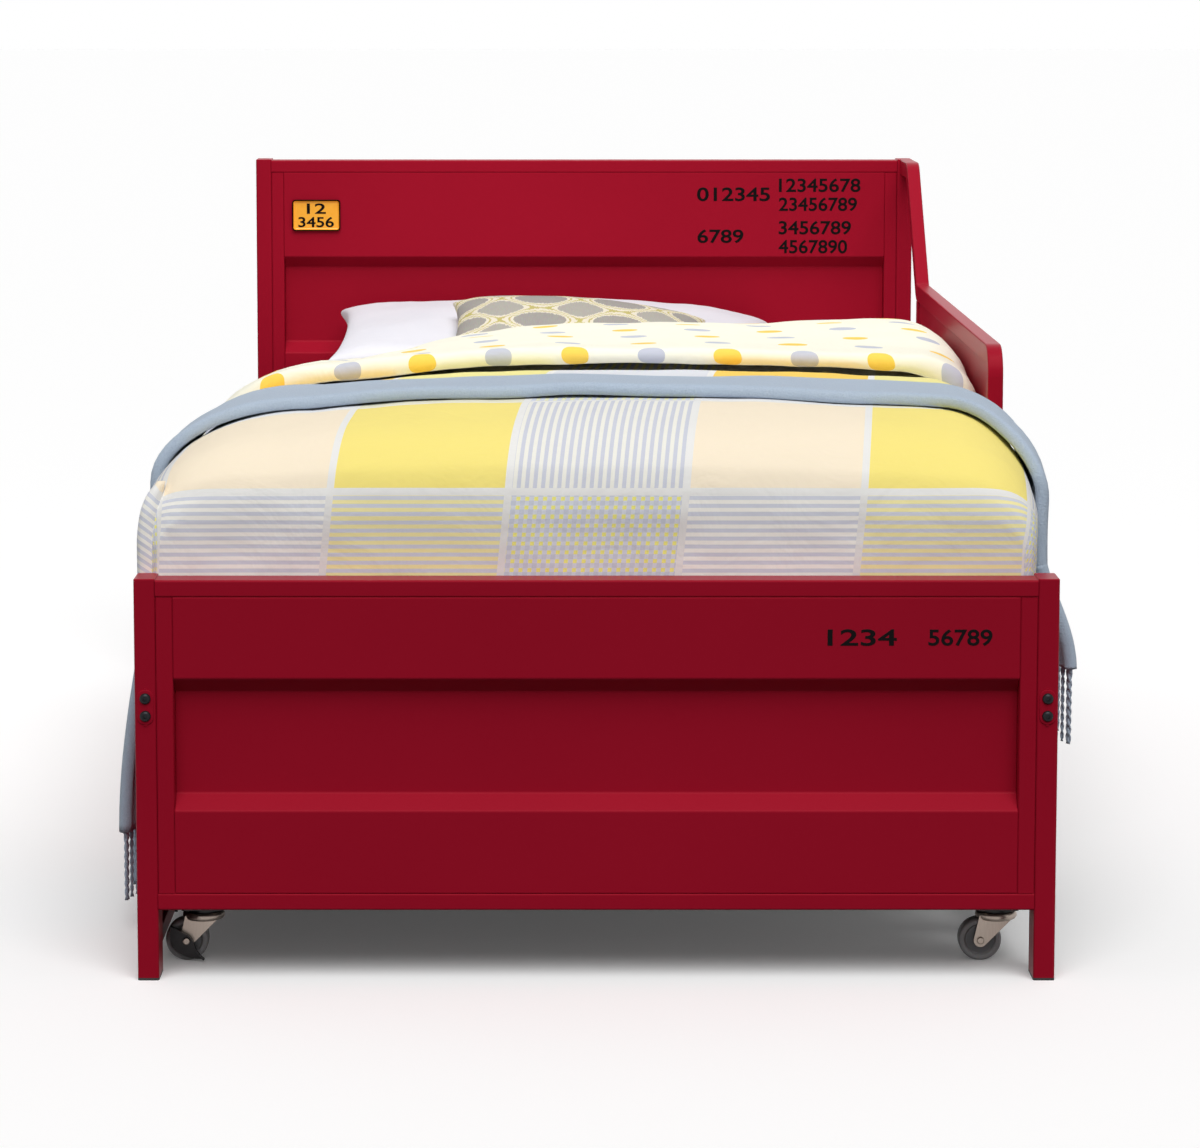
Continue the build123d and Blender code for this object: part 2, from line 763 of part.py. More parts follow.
def axle(pedal_room):
    """The axle bolt along Y with a domed head at the front and a nut at the back."""
    half = leg_gap / 2 + leg_thick
    front = half + pedal_room
    with BuildPart() as part:
        with BuildSketch(Plane.XZ.offset(-half)):
            Circle(axle_radius)
        extrude(amount=half + front)
        with BuildSketch(Plane.XZ.offset(front)):
            Circle(axle_head)
        extrude(amount=axle_head_tall)
        fillet(part.faces().sort_by(Axis.Y)[0].edges(), axle_head_tall / 2)
        with BuildSketch(Plane.XZ.offset(-half)):
            RegularPolygon(axle_head, 6)
        extrude(amount=-axle_head_tall)
    return part.part


def brake_pedal():
    """A rocking pedal on the axle: a cheek plate with a foot flange along its wavy upper edge."""
    cheek = leg_gap / 2 + leg_thick + fit_clearance
    high_end, low_end = pedal_line[0], pedal_line[-1]
    under_line = [(x - pedal_flange_thick, z - pedal_flange_thick) for x, z in pedal_line]
    with BuildPart() as part:
        with BuildSketch(Plane.XZ.offset(cheek)):
            with BuildLine():
                wave(pedal_line)
                ThreePointArc(low_end, pedal_low_arc, pedal_low_corner)
                ThreePointArc(pedal_low_corner, pedal_back_arc, high_end)
            make_face()
            Circle(axle_radius + running, mode=Mode.SUBTRACT)
        extrude(amount=pedal_thick)
        with BuildSketch(Plane.XZ.offset(cheek)):
            with BuildLine():
                wave(pedal_line)
                wave(under_line)
                Line(high_end, under_line[0])
                Line(low_end, under_line[-1])
            make_face()
        extrude(amount=pedal_flange)
    return part.part


def wave(points):
    """The pedal's wavy line: three arcs, each through a point between its ends."""
    for start in range(0, len(points) - 1, 2):
        ThreePointArc(*points[start:start + 3])


def casters():
    """Four casters under the deck's corners; the two behind the front panel have brake pedals."""
    fork_part, plate_part, wheel_part, pedal_part = fork(), caster_plate(), wheel(), brake_pedal()
    for name, (x, y) in caster_spots().items():
        place = Pos(x, y, 0)
        hub = place * Pos(-caster_trail, 0, wheel_radius)
        save(f"caster_fork_{name}", place * fork_part)
        save(f"caster_wheel_{name}", hub * wheel_part)
        braked = name.endswith("left")
        outward = {"caster_axle": axle(pedal_thick + 2 * fit_clearance if braked else 0)}
        if braked:
            outward["brake_pedal"] = pedal_part
        for label, piece in outward.items():
            save(f"{label}_{name}", hub * (piece if y < 0 else piece.mirror(Plane.XZ)))
    save("caster_plates", *[Pos(x, y, 0) * plate_part for x, y in caster_spots().values()])
    screw = button_bolt(plate_screw_radius, plate_screw_head, plate_screw_head_tall,
                        plate_thick + plate_screw_reach, plate_screw_radius)
    under = caster_height - plate_thick
    save("caster_plate_screws", *[Pos(*spot) * Rot(180, 0, 0) * screw for spot in plate_screw_spots(under)])


# Bedding

def rounded_block(width, length, corner, edge, low, high, foot):
    """An upholstered block: rounded plan corners and a soft top edge."""
    with BuildPart() as block:
        with BuildSketch(Plane.XY.offset(low)):
            RectangleRounded(width, length, corner)
        extrude(amount=high - low)
        fillet(block.faces().sort_by(Axis.Z)[-1].edges(), edge)
    return Pos(0, foot + length / 2, 0) * block.part


def duvet_section(cut, right, grow):
    """One cut across the made bed: level sides, rounded edges of their own width and drop, a low crown."""
    y, draw_left, draw_right, *rises, (wide_left, drop_left), (wide_right, drop_right) = cut
    left = draw_left - duvet_left - grow
    right = right - draw_right + grow
    high_left, high, high_right = [mattress_top + rise + grow for rise in rises]
    hem = rail_top + duvet_hem_gap
    share = duvet_turn_share
    low_left, low_right = (left, high_left - drop_left), (right, high_right - drop_right)
    top_left, top_right = (left + wide_left, high_left), (right - wide_right, high_right)
    with BuildSketch(Plane(origin=(0, y, 0), x_dir=(1, 0, 0), z_dir=(0, -1, 0))) as section:
        with BuildLine():
            Line((left, hem), low_left)
            ThreePointArc(low_left, (left + share * wide_left, high_left - share * drop_left), top_left)
            ThreePointArc(top_left, ((top_left[0] + top_right[0]) / 2, high), top_right)
            ThreePointArc(top_right, (right - share * wide_right, high_right - share * drop_right), low_right)
            Line(low_right, (right, hem))
            Line((right, hem), (left, hem))
        make_face()
    return section.sketch


def made_bed(grow):
    """The space under the duvet's outer face, grown outwards by a layer."""
    cuts = [((duvet_foot + cut[0], *cut[1:]), duvet_right) for cut in duvet_foot_cuts]
    cuts[0] = ((duvet_foot - grow, *duvet_foot_cuts[0][1:]), duvet_right)
    guard_cut = (foot_front + guard_front - duvet_fold_step, *duvet_by_guard_cut)
    cuts.append((guard_cut, duvet_by_guard))
    near_fold = [measure - fold_thick if place in (2, 3, 4) else measure
                 for place, measure in enumerate(fold_cuts[0][1:])]
    cuts.append(((fold_near_y - duvet_fold_step, *near_fold), duvet_by_guard))
    cuts += [((fold_near_y + cut[0], *cut[1:]), duvet_by_guard) for cut in fold_cuts]
    return loft([duvet_section(*cut, grow) for cut in cuts], ruled=True)


def padded_form(width, length, thick):
    """A stuffed form: full in the middle, thin at its edges, its sides drawn in between the corners."""
    draw = pad_draw * width
    sections = []
    for height, share in pad_layers:
        half_wide, half_long = width * share / 2, length * share / 2
        corners = [(-half_wide, -half_long), (half_wide, -half_long), (half_wide, half_long),
                   (-half_wide, half_long)]
        middles = [(0, draw - half_long), (half_wide - draw, 0), (0, half_long - draw), (draw - half_wide, 0)]
        with BuildSketch(Plane.XY.offset(height * thick)) as section:
            with BuildLine():
                for index, middle in enumerate(middles):
                    ThreePointArc(corners[index], middle, corners[(index + 1) % 4])
            make_face()
        sections.append(section.sketch)
    return loft(sections)


def ribbon_section(z, x, near_y, far_y, wave_deep, waves):
    """A level cut through hanging cloth: a strip that waves from side to side."""
    step = (far_y - near_y) / waves
    with BuildSketch(Plane.XY.offset(z)) as section:
        with BuildLine():
            for half in (-fall_thick / 2, fall_thick / 2):
                for index in range(waves):
                    start = near_y + index * step
                    bulge = wave_deep if index % 2 else -wave_deep
                    ThreePointArc((x + half, start), (x + half + bulge, start + step / 2),
                                  (x + half, start + step))
            for y in (near_y, far_y):
                Line((x - fall_thick / 2, y), (x + fall_thick / 2, y))
        make_face()
    return section.sketch


def throw_fall(side, edge, near_y, far_y, low, waves):
    """The part of the throw that hangs down one side, clear of the bed's edge, flaring as it falls."""
    top_x = edge + throw_thick
    top_x = max(top_x, edge + soft_gap + fall_wave_top + fall_thick / 2)
    low_x = fall_reach - fall_wave_low - fall_thick / 2
    high = throw_side_low - soft_gap
    middle = (high + low) / 2
    middle_x = top_x + (low_x - top_x) * fall_mid_share
    sections = [
        ribbon_section(low, side * low_x, near_y, far_y, fall_wave_low, waves),
        ribbon_section(middle, side * middle_x, near_y, far_y, fall_mid_wave, waves),
        ribbon_section(high, side * top_x, near_y, far_y, fall_wave_top, waves),
    ]
    return loft(sections, ruled=True)


def bedding():
    """Mattress, duvet, pillow, cushion and the throw with its two hanging ends."""
    save("mattress", rounded_block(mattress_width, mattress_length, mattress_corner, mattress_edge,
                                   deck_top, mattress_top, mattress_foot))
    hollow = rounded_block(mattress_width + 2 * soft_gap, mattress_length + 2 * soft_gap,
                           mattress_corner + soft_gap, mattress_edge, rail_bottom,
                           mattress_top + soft_gap, mattress_foot - soft_gap)
    post_room = foot_height + soft_gap
    posts = [Pos(side * post_x, -post_y, post_room / 2) * Box(post_across + 2 * soft_gap,
             post_deep + 2 * soft_gap, post_room) for side in (-1, 1)]
    save("duvet", (made_bed(0) - hollow - posts).solid())

    lean = Rot(cushion_lean, 0, 0)
    cushion = Pos(-cushion_left, cushion_low_y + cushion_long / 2, 0) * lean * padded_form(
        cushion_wide, cushion_long, cushion_thick)
    cushion = Pos(0, 0, mattress_top + soft_gap - cushion.bounding_box().min.Z) * cushion
    dent = Pos(-cushion_left, cushion_low_y + cushion_long / 2, 0) * lean * padded_form(
        cushion_wide + 2 * soft_gap, cushion_long + 2 * soft_gap, cushion_thick + 2 * soft_gap)
    dent = Pos(0, 0, mattress_top - dent.bounding_box().min.Z) * dent
    pillow_y = head_front - pillow_head_gap - pillow_long / 2
    pillow_z = mattress_top + soft_gap + pillow_thick / 2
    pillow = Pos(-pillow_left, pillow_y, pillow_z) * padded_form(pillow_wide, pillow_long, pillow_thick)
    save("cushion", cushion)
    save("pillow", (pillow - dent).solid())

    top = mattress_top + duvet_by_guard_cut[3] + 2 * throw_thick
    with BuildPart() as band:
        with BuildSketch(Plane.XY.offset(throw_side_low)):
            with BuildLine():
                Line((-fall_reach, throw_near_left_y), (-fall_reach, throw_far_left_y))
                Line((fall_reach, throw_near_right_y), (fall_reach, throw_far_right_y))
                Line((-fall_reach, throw_near_left_y), (-duvet_left, throw_near_left_y))
                Line((-fall_reach, throw_far_left_y), (-duvet_left, throw_far_left_y))
                Line((fall_reach, throw_near_right_y), (duvet_right, throw_near_right_y))
                Line((fall_reach, throw_far_right_y), (duvet_right, throw_far_right_y))
                ThreePointArc((-duvet_left, throw_near_left_y), (0, throw_near_y),
                              (duvet_right, throw_near_right_y))
                ThreePointArc((-duvet_left, throw_far_left_y), (0, throw_far_y),
                              (duvet_right, throw_far_right_y))
            make_face()
        extrude(amount=top - throw_side_low)
    layer = made_bed(soft_gap + throw_thick) - made_bed(soft_gap)
    save("throw", (band.part & layer).solid())
    save("throw_left_fall", throw_fall(-1, duvet_left, throw_near_left_y, throw_far_left_y,
                                       left_fall_low, left_fall_waves))
    save("throw_right_fall", throw_fall(1, duvet_right, throw_near_right_y, throw_far_right_y,
                                        right_fall_low, right_fall_waves))


for name, x, y, height in (
    ("foot_post_left", -post_x, -post_y, foot_height),
    ("foot_post_right", post_x, -post_y, foot_height),
    ("head_post_left", -post_x, post_y, head_height),
    ("head_post_right", post_x, post_y, head_height),
):
    save(name, post(x, y, height))
save("post_glides", *[glide(sx * post_x, sy * post_y) for sx in (-1, 1) for sy in (-1, 1)])
end_frame("footboard", foot_front, foot_frame_top, [low_band_floor])
end_frame("headboard", head_front, head_frame_top, [low_band_floor, high_band_floor])
rail_joints()
deck()
guard()
trundle_panel()
trundle_deck()
casters()
bedding()
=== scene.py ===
import math

import bpy
import numpy as np
from mathutils import Matrix, Vector, noise


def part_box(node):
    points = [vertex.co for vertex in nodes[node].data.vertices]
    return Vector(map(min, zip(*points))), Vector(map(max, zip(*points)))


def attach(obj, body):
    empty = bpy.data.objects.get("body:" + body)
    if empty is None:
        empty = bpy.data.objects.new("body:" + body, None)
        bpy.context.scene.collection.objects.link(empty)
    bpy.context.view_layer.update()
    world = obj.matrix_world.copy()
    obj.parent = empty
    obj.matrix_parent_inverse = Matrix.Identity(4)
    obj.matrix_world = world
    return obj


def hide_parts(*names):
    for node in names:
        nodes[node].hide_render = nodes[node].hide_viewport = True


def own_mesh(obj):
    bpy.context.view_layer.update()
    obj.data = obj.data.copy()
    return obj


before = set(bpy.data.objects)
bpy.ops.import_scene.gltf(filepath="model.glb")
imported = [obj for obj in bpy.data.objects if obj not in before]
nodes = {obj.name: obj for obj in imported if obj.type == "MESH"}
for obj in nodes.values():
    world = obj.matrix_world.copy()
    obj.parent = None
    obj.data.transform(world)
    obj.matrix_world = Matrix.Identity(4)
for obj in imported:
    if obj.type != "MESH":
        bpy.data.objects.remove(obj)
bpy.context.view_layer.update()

# The camera: a long lens low at the foot of the bed, a little left of its middle.
scene = bpy.context.scene
scene.view_settings.view_transform = "Standard"
camera = bpy.data.objects.new("camera", bpy.data.cameras.new("camera"))
scene.collection.objects.link(camera)
scene.camera = camera
camera.location = (-0.0491, -5.6536, 1.1639)
camera.rotation_euler = (math.radians(90 - 6.709), 0, math.radians(-0.006))
camera.data.sensor_width = 36
camera.data.lens = 121.76
camera.data.shift_x = 0.0379
camera.data.shift_y = -0.1
camera.data.clip_end = 100


def linear(code):
    """An sRGB hex colour as the linear numbers that a shader takes."""
    channels = [int(code[place:place + 2], 16) / 255 for place in (1, 3, 5)]
    return [c / 12.92 if c <= 0.04045 else ((c + 0.055) / 1.055) ** 2.4 for c in channels] + [1]


def give(tree, node, sockets):
    """Sets sockets to numbers, colours, outputs, or nodes, which give their first live output."""
    for name, value in sockets.items():
        if isinstance(value, bpy.types.Node):
            value = next(output for output in value.outputs if output.enabled)
        if isinstance(value, bpy.types.NodeSocket):
            tree.links.new(value, node.inputs[name])
        else:
            node.inputs[name].default_value = value


def add(tree, kind, sockets=None, stops=(), **settings):
    """Adds a node with its settings and sockets. Stops are a ramp's places and colours."""
    made = tree.nodes.new(kind)
    for name, value in settings.items():
        setattr(made, name, value)
    give(tree, made, sockets or {})
    for index, (place, colour) in enumerate(stops):
        ramp = made.color_ramp.elements
        stop = ramp[index] if index < len(ramp) else ramp.new(place)
        stop.position, stop.color = place, colour
    return made


def blank(name):
    """A new material's tree, its principled shader and its object coordinates."""
    material = bpy.data.materials.new(name)
    material.use_nodes = True
    tree = material.node_tree
    place = add(tree, "ShaderNodeTexCoord").outputs["Object"]
    return material, tree, tree.nodes["Principled BSDF"], place


# The studio: a pale floor with no edge in sight, a broad soft light from above the foot end and an even
# pale surround. The floor shows white and keeps the shadow, and throws little light back up.
def looked_at(tree):
    """1 for rays from the camera, a reflection or a clear material, and 0 for those that only light."""
    rays = add(tree, "ShaderNodeLightPath").outputs
    seen = add(tree, "ShaderNodeMath", {0: rays["Is Camera Ray"], 1: rays["Is Glossy Ray"]},
               operation="MAXIMUM")
    return add(tree, "ShaderNodeMath", {0: seen, 1: rays["Is Transmission Ray"]}, operation="MAXIMUM")


def floor_paint():
    """Matt paint: white to look at, dark grey to the light that it throws back, with a slight glow."""
    material = bpy.data.materials.new("matt_white_floor_paint")
    material.use_nodes = True
    tree = material.node_tree
    tree.nodes.clear()
    seen = looked_at(tree)
    tone = add(tree, "ShaderNodeMix", {0: seen, 6: linear("#454545"), 7: linear("#ffffff")},
               data_type="RGBA")
    paint = add(tree, "ShaderNodeBsdfDiffuse", {"Color": tone})
    lift = add(tree, "ShaderNodeMath", {0: seen, 1: 0.06}, operation="MULTIPLY")
    glow = add(tree, "ShaderNodeEmission", {"Strength": lift})
    both = add(tree, "ShaderNodeAddShader", {0: paint, 1: glow})
    add(tree, "ShaderNodeOutputMaterial", {"Surface": both})
    return material


floor_mesh = bpy.data.meshes.new("floor")
floor_mesh.from_pydata([(-40, -20, 0), (40, -20, 0), (40, 60, 0), (-40, 60, 0)], [], [(0, 1, 2, 3)])
floor = bpy.data.objects.new("floor", floor_mesh)
scene.collection.objects.link(floor)
floor_mesh.materials.append(floor_paint())

key = bpy.data.objects.new("key_light", bpy.data.lights.new("key_light", "SUN"))
scene.collection.objects.link(key)
key.data.energy = 2.15
key.data.angle = math.radians(50)
key.rotation_euler = (math.radians(34), math.radians(4), 0)

head_fill = bpy.data.objects.new("head_fill", bpy.data.lights.new("head_fill", "AREA"))
scene.collection.objects.link(head_fill)
head_fill.data.shape = "RECTANGLE"
head_fill.data.size, head_fill.data.size_y = 1.6, 0.9
head_fill.data.energy = 3.4
head_fill.data.spread = math.radians(110)
head_fill.location = (0, -0.5, 1.9)
head_fill.rotation_euler = (math.radians(48), 0, 0)

# The surround shows white and lights the bed at about a third of that.
world = bpy.data.worlds.new("surround")
scene.world = world
world.use_nodes = True
level = add(world.node_tree, "ShaderNodeMapRange", {"Value": looked_at(world.node_tree), "To Min": 0.36,
                                                    "To Max": 1.0})
give(world.node_tree, world.node_tree.nodes["Background"], {"Strength": level, "Color": (1, 1, 1, 1)})


# The steelwork: posts, end frames with their pressed panels, rails, side guard and the trundle's front
# panel. All are mild steel, welded and pressed, then powder coated gloss red in one go.
def red_powder_coat():
    """Gloss powder coat: an even deep red with a faint orange-peel ripple from the baked powder."""
    material, tree, shader, place = blank("gloss_red_powder_coat")
    broad = add(tree, "ShaderNodeTexNoise", {"Vector": place, "Scale": 3.0, "Detail": 3.0})
    tone = add(tree, "ShaderNodeMix", {0: broad, 6: linear("#961026"), 7: linear("#a1132a")},
               data_type="RGBA")
    # The ripple's pitch is 2.5 mm.
    peel = add(tree, "ShaderNodeTexNoise", {"Vector": place, "Scale": 400.0, "Detail": 2.0})
    ripple = add(tree, "ShaderNodeBump", {"Height": peel, "Strength": 0.04, "Distance": 0.001})
    rough = add(tree, "ShaderNodeMapRange", {"Value": peel, "To Min": 0.3, "To Max": 0.38})
    # The pigment lies close under the skin, so the shine is weak and reddish.
    give(tree, shader, {"Base Color": tone, "Normal": ripple, "Roughness": rough, "Specular IOR Level": 0.1,
                        "Specular Tint": linear("#ff9a9a")})
    return material


def coat(starts, material):
    """Gives each solid whose name starts so its one material."""
    for name, piece in nodes.items():
        if name.startswith(starts):
            piece.data.materials.clear()
            piece.data.materials.append(material)


coat(("foot_post", "head_post", "bolt_escutcheons", "footboard", "headboard", "side_rail", "rail_end_plates",
      "guard_bar", "guard_rear", "guard_bottom", "guard_panel", "trundle_panel_top", "trundle_panel_bottom",
      "trundle_panel_stiles", "trundle_panel_sheet"), red_powder_coat())


# The bolts and panel screws: hexagon-socket button heads in high-tensile steel with a black oxide finish,
# an oiled dark skin over bright metal that glints on its rims.
def black_oxide():
    """Black oxide on steel: near-black metal, smooth, with small oily differences in its shine."""
    material, tree, shader, place = blank("black_oxide_steel")
    grain = add(tree, "ShaderNodeTexNoise", {"Vector": place, "Scale": 900.0, "Detail": 2.0})
    tone = add(tree, "ShaderNodeMix", {0: grain, 6: linear("#17171a"), 7: linear("#2b2b2e")},
               data_type="RGBA")
    rough = add(tree, "ShaderNodeMapRange", {"Value": grain, "To Min": 0.22, "To Max": 0.4})
    give(tree, shader, {"Base Color": tone, "Roughness": rough, "Metallic": 0.85})
    return material


coat(("rail_bolts", "guard_bolts", "trundle_panel_screws"), black_oxide())


# The glides under the posts: injection-moulded black polyethylene, pressed up into each tube's end.
def black_polyethylene():
    """Moulded polyethylene: soft black with a fine moulded grain and a waxy shine."""
    material, tree, shader, place = blank("black_polyethylene")
    grain = add(tree, "ShaderNodeTexNoise", {"Vector": place, "Scale": 1200.0, "Detail": 3.0})
    tone = add(tree, "ShaderNodeMix", {0: grain, 6: linear("#141414"), 7: linear("#202020")},
               data_type="RGBA")
    bump = add(tree, "ShaderNodeBump", {"Height": grain, "Strength": 0.15, "Distance": 0.0003})
    give(tree, shader, {"Base Color": tone, "Normal": bump, "Roughness": 0.5})
    return material


coat("post_glides", black_polyethylene())


# The two decks: slats, ledges, tie bar and the trundle's rolling frame, in steel tube and strip with a
# satin black powder coat.
def black_powder_coat():
    """Satin powder coat: charcoal black with a fine pebbled texture, 1 mm across."""
    material, tree, shader, place = blank("satin_black_powder_coat")
    pebble = add(tree, "ShaderNodeTexNoise", {"Vector": place, "Scale": 1000.0, "Detail": 2.0})
    tone = add(tree, "ShaderNodeMix", {0: pebble, 6: linear("#1b1b1c"), 7: linear("#29292b")},
               data_type="RGBA")
    bump = add(tree, "ShaderNodeBump", {"Height": pebble, "Strength": 0.2, "Distance": 0.0004})
    give(tree, shader, {"Base Color": tone, "Normal": bump, "Roughness": 0.48})
    return material


coat(("trundle_slats", "trundle_deck", "daybed_slats", "slat_", "trundle_panel_straps"), black_powder_coat())


# The casters' stamped forks, axles and screws, and the rails' weld nuts: drawn steel with a bright nickel
# plate that has kept the strip's fine rolling lines.
def nickel_plate():
    """Nickel on stamped steel: warm grey metal with fine upright lines from the rolled strip."""
    material, tree, shader, place = blank("nickel_plated_steel")
    # The lines are 0.4 mm apart and some 20 mm long.
    stretched = add(tree, "ShaderNodeMapping", {"Vector": place, "Scale": (2500, 2500, 50)})
    lines = add(tree, "ShaderNodeTexNoise", {"Vector": stretched, "Scale": 1.0, "Detail": 2.0})
    tone = add(tree, "ShaderNodeMix", {0: lines, 6: linear("#8d8178"), 7: linear("#b4a79c")},
               data_type="RGBA")
    rough = add(tree, "ShaderNodeMapRange", {"Value": lines, "To Min": 0.28, "To Max": 0.42})
    bump = add(tree, "ShaderNodeBump", {"Height": lines, "Strength": 0.08, "Distance": 0.0002})
    give(tree, shader, {"Base Color": tone, "Roughness": rough, "Normal": bump, "Metallic": 1.0})
    return material


coat(("caster_fork", "caster_axle", "caster_plate_screws", "rail_nuts"), nickel_plate())


# The casters' mounting plates and brake pedals: pressed steel with a black electroplate.
def black_plate():
    """Black electroplate on pressed steel: darker than bare metal, smooth, with a soft sheen."""
    material, tree, shader, place = blank("black_electroplate")
    cloud = add(tree, "ShaderNodeTexNoise", {"Vector": place, "Scale": 120.0, "Detail": 3.0})
    tone = add(tree, "ShaderNodeMix", {0: cloud, 6: linear("#1c1b1c"), 7: linear("#353334")},
               data_type="RGBA")
    rough = add(tree, "ShaderNodeMapRange", {"Value": cloud, "To Min": 0.3, "To Max": 0.45})
    give(tree, shader, {"Base Color": tone, "Roughness": rough, "Metallic": 0.6})
    return material


coat(("caster_plates", "brake_pedal"), black_plate())


# The caster wheels: a grey thermoplastic rubber tread moulded over a darker hub, turned smooth, so it
# shows faint rings round the axle.
wheel_radius = 0.0255


def wheel_rubber(piece):
    """Moulded rubber: a light grey tread, a darker hub inside 17 mm and rings from the mould, 1 mm apart."""
    material, tree, shader, place = blank("grey_thermoplastic_rubber")
    low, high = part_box(piece.name)
    middle = (low + high) / 2
    centred = add(tree, "ShaderNodeMapping", {"Vector": place, "Location": (-middle.x, 0, -middle.z),
                                              "Scale": (1, 0, 1)})
    out = add(tree, "ShaderNodeVectorMath", {0: centred}, operation="LENGTH")
    share = add(tree, "ShaderNodeMath", {0: out, 1: 1 / wheel_radius}, operation="MULTIPLY")
    tone = add(tree, "ShaderNodeValToRGB", {"Fac": share}, stops=[
        (0.0, linear("#59595b")), (0.62, linear("#6a6a6c")), (0.7, linear("#9b9a9b")),
        (0.93, linear("#adacad")), (1.0, linear("#959495"))])
    grime = add(tree, "ShaderNodeTexNoise", {"Vector": place, "Scale": 300.0, "Detail": 3.0})
    mixed = add(tree, "ShaderNodeMix", {0: 0.12, 6: tone, 7: grime.outputs["Color"]}, data_type="RGBA",
                blend_type="OVERLAY")
    ring = add(tree, "ShaderNodeMath", {0: out, 1: 2 * math.pi / 0.001}, operation="MULTIPLY")
    ring = add(tree, "ShaderNodeMath", {0: ring}, operation="SINE")
    bump = add(tree, "ShaderNodeBump", {"Height": ring, "Strength": 0.1, "Distance": 0.0002})
    give(tree, shader, {"Base Color": mixed, "Normal": bump, "Roughness": 0.42})
    return material


for name, piece in nodes.items():
    if name.startswith("caster_wheel"):
        coat(name, wheel_rubber(piece))


# The markings on the headboard and footboard: plain digits in black vinyl, cut on a plotter and pressed
# onto the paint. They stand 0.3 mm proud.
def black_vinyl():
    """Cut vinyl film: flat black with a slight satin skin."""
    material, tree, shader, place = blank("black_vinyl_film")
    grain = add(tree, "ShaderNodeTexNoise", {"Vector": place, "Scale": 1500.0})
    tone = add(tree, "ShaderNodeMix", {0: grain, 6: linear("#080607"), 7: linear("#100c0e")},
               data_type="RGBA")
    give(tree, shader, {"Base Color": tone, "Roughness": 0.5, "Specular IOR Level": 0.06})
    return material


vinyl = black_vinyl()
vinyl_thick = 0.0003


def digits(name, text, left, right, low, high, front, material):
    """Cut digits that fill the box from left to right and low to high, facing the foot end."""
    bpy.ops.object.select_all(action="DESELECT")
    bpy.ops.object.text_add()
    piece = bpy.context.object
    piece.data.body = text
    piece.data.resolution_u = 6
    # The text is one unit high here and fitted to its box below, so the bevel only thickens its strokes.
    piece.data.extrude = 0.5
    piece.data.bevel_depth = 0.016
    piece.data.bevel_resolution = 0
    bpy.ops.object.convert(target="MESH")
    piece = bpy.context.object
    points = np.array([v.co for v in piece.data.vertices])
    start, size = points.min(0), np.ptp(points, axis=0)
    for vertex in piece.data.vertices:
        share = (np.array(vertex.co) - start) / size
        vertex.co = (left + share[0] * (right - left), front - share[2] * vinyl_thick,
                     low + share[1] * (high - low))
    piece.name = name
    piece.data.materials.clear()
    piece.data.materials.append(material)
    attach(piece, "bed_frame")
    return piece


foot_face, head_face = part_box("footboard_panel")[0].y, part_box("headboard_panel")[0].y
# Each group's left and right ends, and its low and high ones, are in metres in the bed's frame.
for name, text, left, right, low, high, front in (
    ("footboard_digits_left", "1234", 0.267, 0.347, 0.3955, 0.415, foot_face),
    ("footboard_digits_right", "56789", 0.3835, 0.4575, 0.3955, 0.415, foot_face),
    ("headboard_digits_upper_left", "012345", 0.184, 0.303, 0.800, 0.8225, head_face),
    ("headboard_digits_lower_left", "6789", 0.185, 0.260, 0.7315, 0.754, head_face),
    ("headboard_digits_row_one", "12345678", 0.3175, 0.4505, 0.8147, 0.8372, head_face),
    ("headboard_digits_row_two", "23456789", 0.3175, 0.445, 0.7837, 0.8062, head_face),
    ("headboard_digits_row_three", "3456789", 0.3175, 0.4355, 0.7455, 0.768, head_face),
    ("headboard_digits_row_four", "4567890", 0.3175, 0.4295, 0.7145, 0.737, head_face),
):
    digits(name, text, left, right, low, high, front, vinyl)


# The small plate on the headboard: stamped aluminium with a baked amber enamel face, a black border and
# black digits. It is stuck on and has rounded corners.
def amber_enamel():
    """Baked enamel: bright amber, smooth and glossy, with a slight unevenness in its coat."""
    material, tree, shader, place = blank("amber_enamel")
    cloud = add(tree, "ShaderNodeTexNoise", {"Vector": place, "Scale": 60.0})
    tone = add(tree, "ShaderNodeMix", {0: cloud, 6: linear("#f7a51c"), 7: linear("#ffb531")},
               data_type="RGBA")
    give(tree, shader, {"Base Color": tone, "Roughness": 0.25})
    return material


def rounded_plate(name, left, right, low, high, corner, back, front, material):
    """A flat plate with rounded corners, standing upright and facing the foot end."""
    bpy.ops.object.select_all(action="DESELECT")
    bpy.ops.mesh.primitive_cube_add(size=1)
    piece = bpy.context.object
    for vertex in piece.data.vertices:
        vertex.co = ((left + right) / 2 + vertex.co.x * (right - left),
                     (back + front) / 2 + vertex.co.y * (back - front),
                     (low + high) / 2 + vertex.co.z * (high - low))
    bpy.ops.object.mode_set(mode="EDIT")
    bpy.ops.mesh.select_all(action="DESELECT")
    bpy.ops.object.mode_set(mode="OBJECT")
    for edge in piece.data.edges:
        ends = [piece.data.vertices[index].co for index in edge.vertices]
        edge.select = abs(ends[0].y - ends[1].y) > (back - front) / 2
    bpy.ops.object.mode_set(mode="EDIT")
    bpy.ops.mesh.bevel(offset=corner, offset_pct=0, segments=5, affect="EDGES")
    bpy.ops.object.mode_set(mode="OBJECT")
    piece.name = name
    piece.data.materials.append(material)
    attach(piece, "bed_frame")
    return piece


border_face = head_face - 0.0008
amber_face = border_face - 0.0003
rounded_plate("headboard_plate_border", -0.4762, -0.3978, 0.7517, 0.8024, 0.005, head_face, border_face,
              vinyl)
rounded_plate("headboard_plate_face", -0.4742, -0.3998, 0.7537, 0.8004, 0.0035, border_face, amber_face,
              amber_enamel())
digits("headboard_plate_digits_upper", "12", -0.4525, -0.4215, 0.7795, 0.7965, amber_face, vinyl)
digits("headboard_plate_digits_lower", "3456", -0.4665, -0.4085, 0.7575, 0.7745, amber_face, vinyl)
